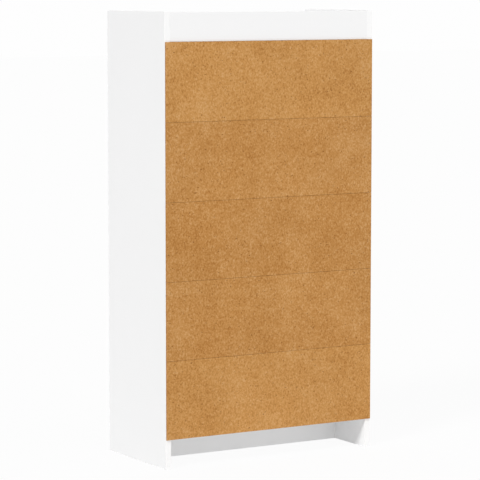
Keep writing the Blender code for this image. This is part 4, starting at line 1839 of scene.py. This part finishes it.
# ---- studio ----------------------------------------------------------------
@dataclass
class Studio:
    """White floor, even white surroundings, one soft key light and the camera."""

    eye: Point = (3.1415, 5.2841, 1.1893)
    sight: Point = (-0.50800, -0.85485, -0.10540)
    lens: float = 182.15
    sensor: float = 36.0
    ambient: float = 0.72
    backdrop: float = 0.99
    horizon: float = 0.22
    zenith: float = 1.25
    lean: Point = (-0.55, 0.26, -0.5)
    lean_offset: float = 1.212
    key: float = 1.587
    key_from: Point = (0.355, 0.168, 0.318)
    key_width: float = 14.0
    floor_bounce: float = 0.35
    floor_paint: float = 0.51
    shadow_share: float = 0.05
    open_light: float = 1.1
    floor_reach: float = 30.0
    floor_drop: float = 0.0002

    def build(self) -> None:
        """Set the scene round the cabinet."""
        self.surroundings()
        self.floor()
        self.key_light()
        self.camera()
        bpy.context.scene.view_settings.view_transform = "Standard"
        bpy.context.scene.view_settings.look = "None"

    def surroundings(self) -> None:
        """Light the scene evenly, reflect a dimmer horizon and show white where nothing stands."""
        world = bpy.data.worlds.new("surroundings")
        world.use_nodes = True
        bpy.context.scene.world = world
        sheet = Sheet(world.node_tree)
        path = sheet.node("LightPath")
        way = sheet.node("TexCoord").outputs["Generated"]
        up = sheet.node("SeparateXYZ", {0: way}).outputs[2]
        mirrored = sheet.spread(up, 0.0, 0.7, self.horizon, self.zenith)
        slope = sheet.node("VectorMath", {0: way, 1: self.lean}, operation="DOT_PRODUCT").outputs["Value"]
        soft = sheet.maths("MULTIPLY", sheet.maths("ADD", slope, self.lean_offset), self.ambient)
        strength = sheet.choose(path.outputs["Is Glossy Ray"], soft, mirrored)
        strength = sheet.choose(path.outputs["Is Camera Ray"], strength, self.backdrop)
        light = sheet.node("Background", {"Color": WHITE, "Strength": strength})
        sheet.node("OutputWorld", {0: light.outputs[0]})

    def floor(self) -> None:
        """Lay the floor: plain white, with a faint contact shadow."""
        bm = bmesh.new()
        bmesh.ops.create_grid(bm, x_segments=1, y_segments=1, size=self.floor_reach)
        mesh = bpy.data.meshes.new("floor")
        bm.to_mesh(mesh)
        bm.free()
        floor = bpy.data.objects.new("floor", mesh)
        floor.location.z = -self.floor_drop
        bpy.context.scene.collection.objects.link(floor)
        mesh.materials.append(self.floor_material())

    def floor_material(self) -> bpy.types.Material:
        """Make the floor's paint, which glows for the eye and is clear from below.

        Returns:
            The material.
        """
        material = bpy.data.materials.new("floor_paint")
        material.use_nodes = True
        sheet = Sheet(material.node_tree)
        path = sheet.node("LightPath")
        seen = path.outputs["Is Camera Ray"]
        place = sheet.node("TexCoord").outputs["Object"]
        away = sheet.node("VectorMath", {0: place}, operation="LENGTH").outputs["Value"]
        mirrored = sheet.spread(away, 0.4, 5.0, self.floor_bounce, self.horizon)
        glow = sheet.choose(path.outputs["Is Glossy Ray"], self.floor_bounce, mirrored)
        glow = sheet.choose(seen, glow, self.backdrop - self.open_light * self.shadow_share)
        light = sheet.node("Emission", {"Color": WHITE, "Strength": glow})
        tint = sheet.blend(seen, (self.floor_paint,) * 3, (self.shadow_share,) * 3)
        paint = sheet.node("BsdfDiffuse", {"Color": tint})
        both = sheet.node("AddShader", {0: light.outputs[0], 1: paint.outputs[0]})
        below = sheet.node("NewGeometry").outputs["Backfacing"]
        clear = sheet.node("BsdfTransparent")
        shown = sheet.node("MixShader", {0: below, 1: both.outputs[0], 2: clear.outputs[0]})
        sheet.node("OutputMaterial", {0: shown.outputs[0]})
        return material

    def key_light(self) -> None:
        """Hang the soft key light behind and above the cabinet."""
        lamp = bpy.data.lights.new("key", "SUN")
        lamp.energy = self.key
        lamp.angle = math.radians(self.key_width)
        key = bpy.data.objects.new("key", lamp)
        key.rotation_euler = Vector(self.key_from).to_track_quat("Z", "Y").to_euler()
        bpy.context.scene.collection.objects.link(key)

    def camera(self) -> None:
        """Place the camera."""
        data = bpy.data.cameras.new("camera")
        data.sensor_width = self.sensor
        data.lens = self.lens
        data.clip_start = 0.05
        data.clip_end = 100.0
        camera = bpy.data.objects.new("camera", data)
        camera.location = self.eye
        camera.rotation_euler = Vector(self.sight).to_track_quat("-Z", "Y").to_euler()
        bpy.context.scene.collection.objects.link(camera)
        bpy.context.scene.camera = camera


def main() -> None:
    """Build the cabinet and the studio."""
    logging.basicConfig(level=logging.INFO, format="%(name)s: %(message)s")
    for part in (Carcass(), HardboardBack(), Shelves(), CamLocks(), Doors(), Catch(), Studio()):
        LOG.info("building %s", type(part).__name__)
        part.build()
    bpy.context.view_layer.update()


if __name__ == "__main__":
    main()
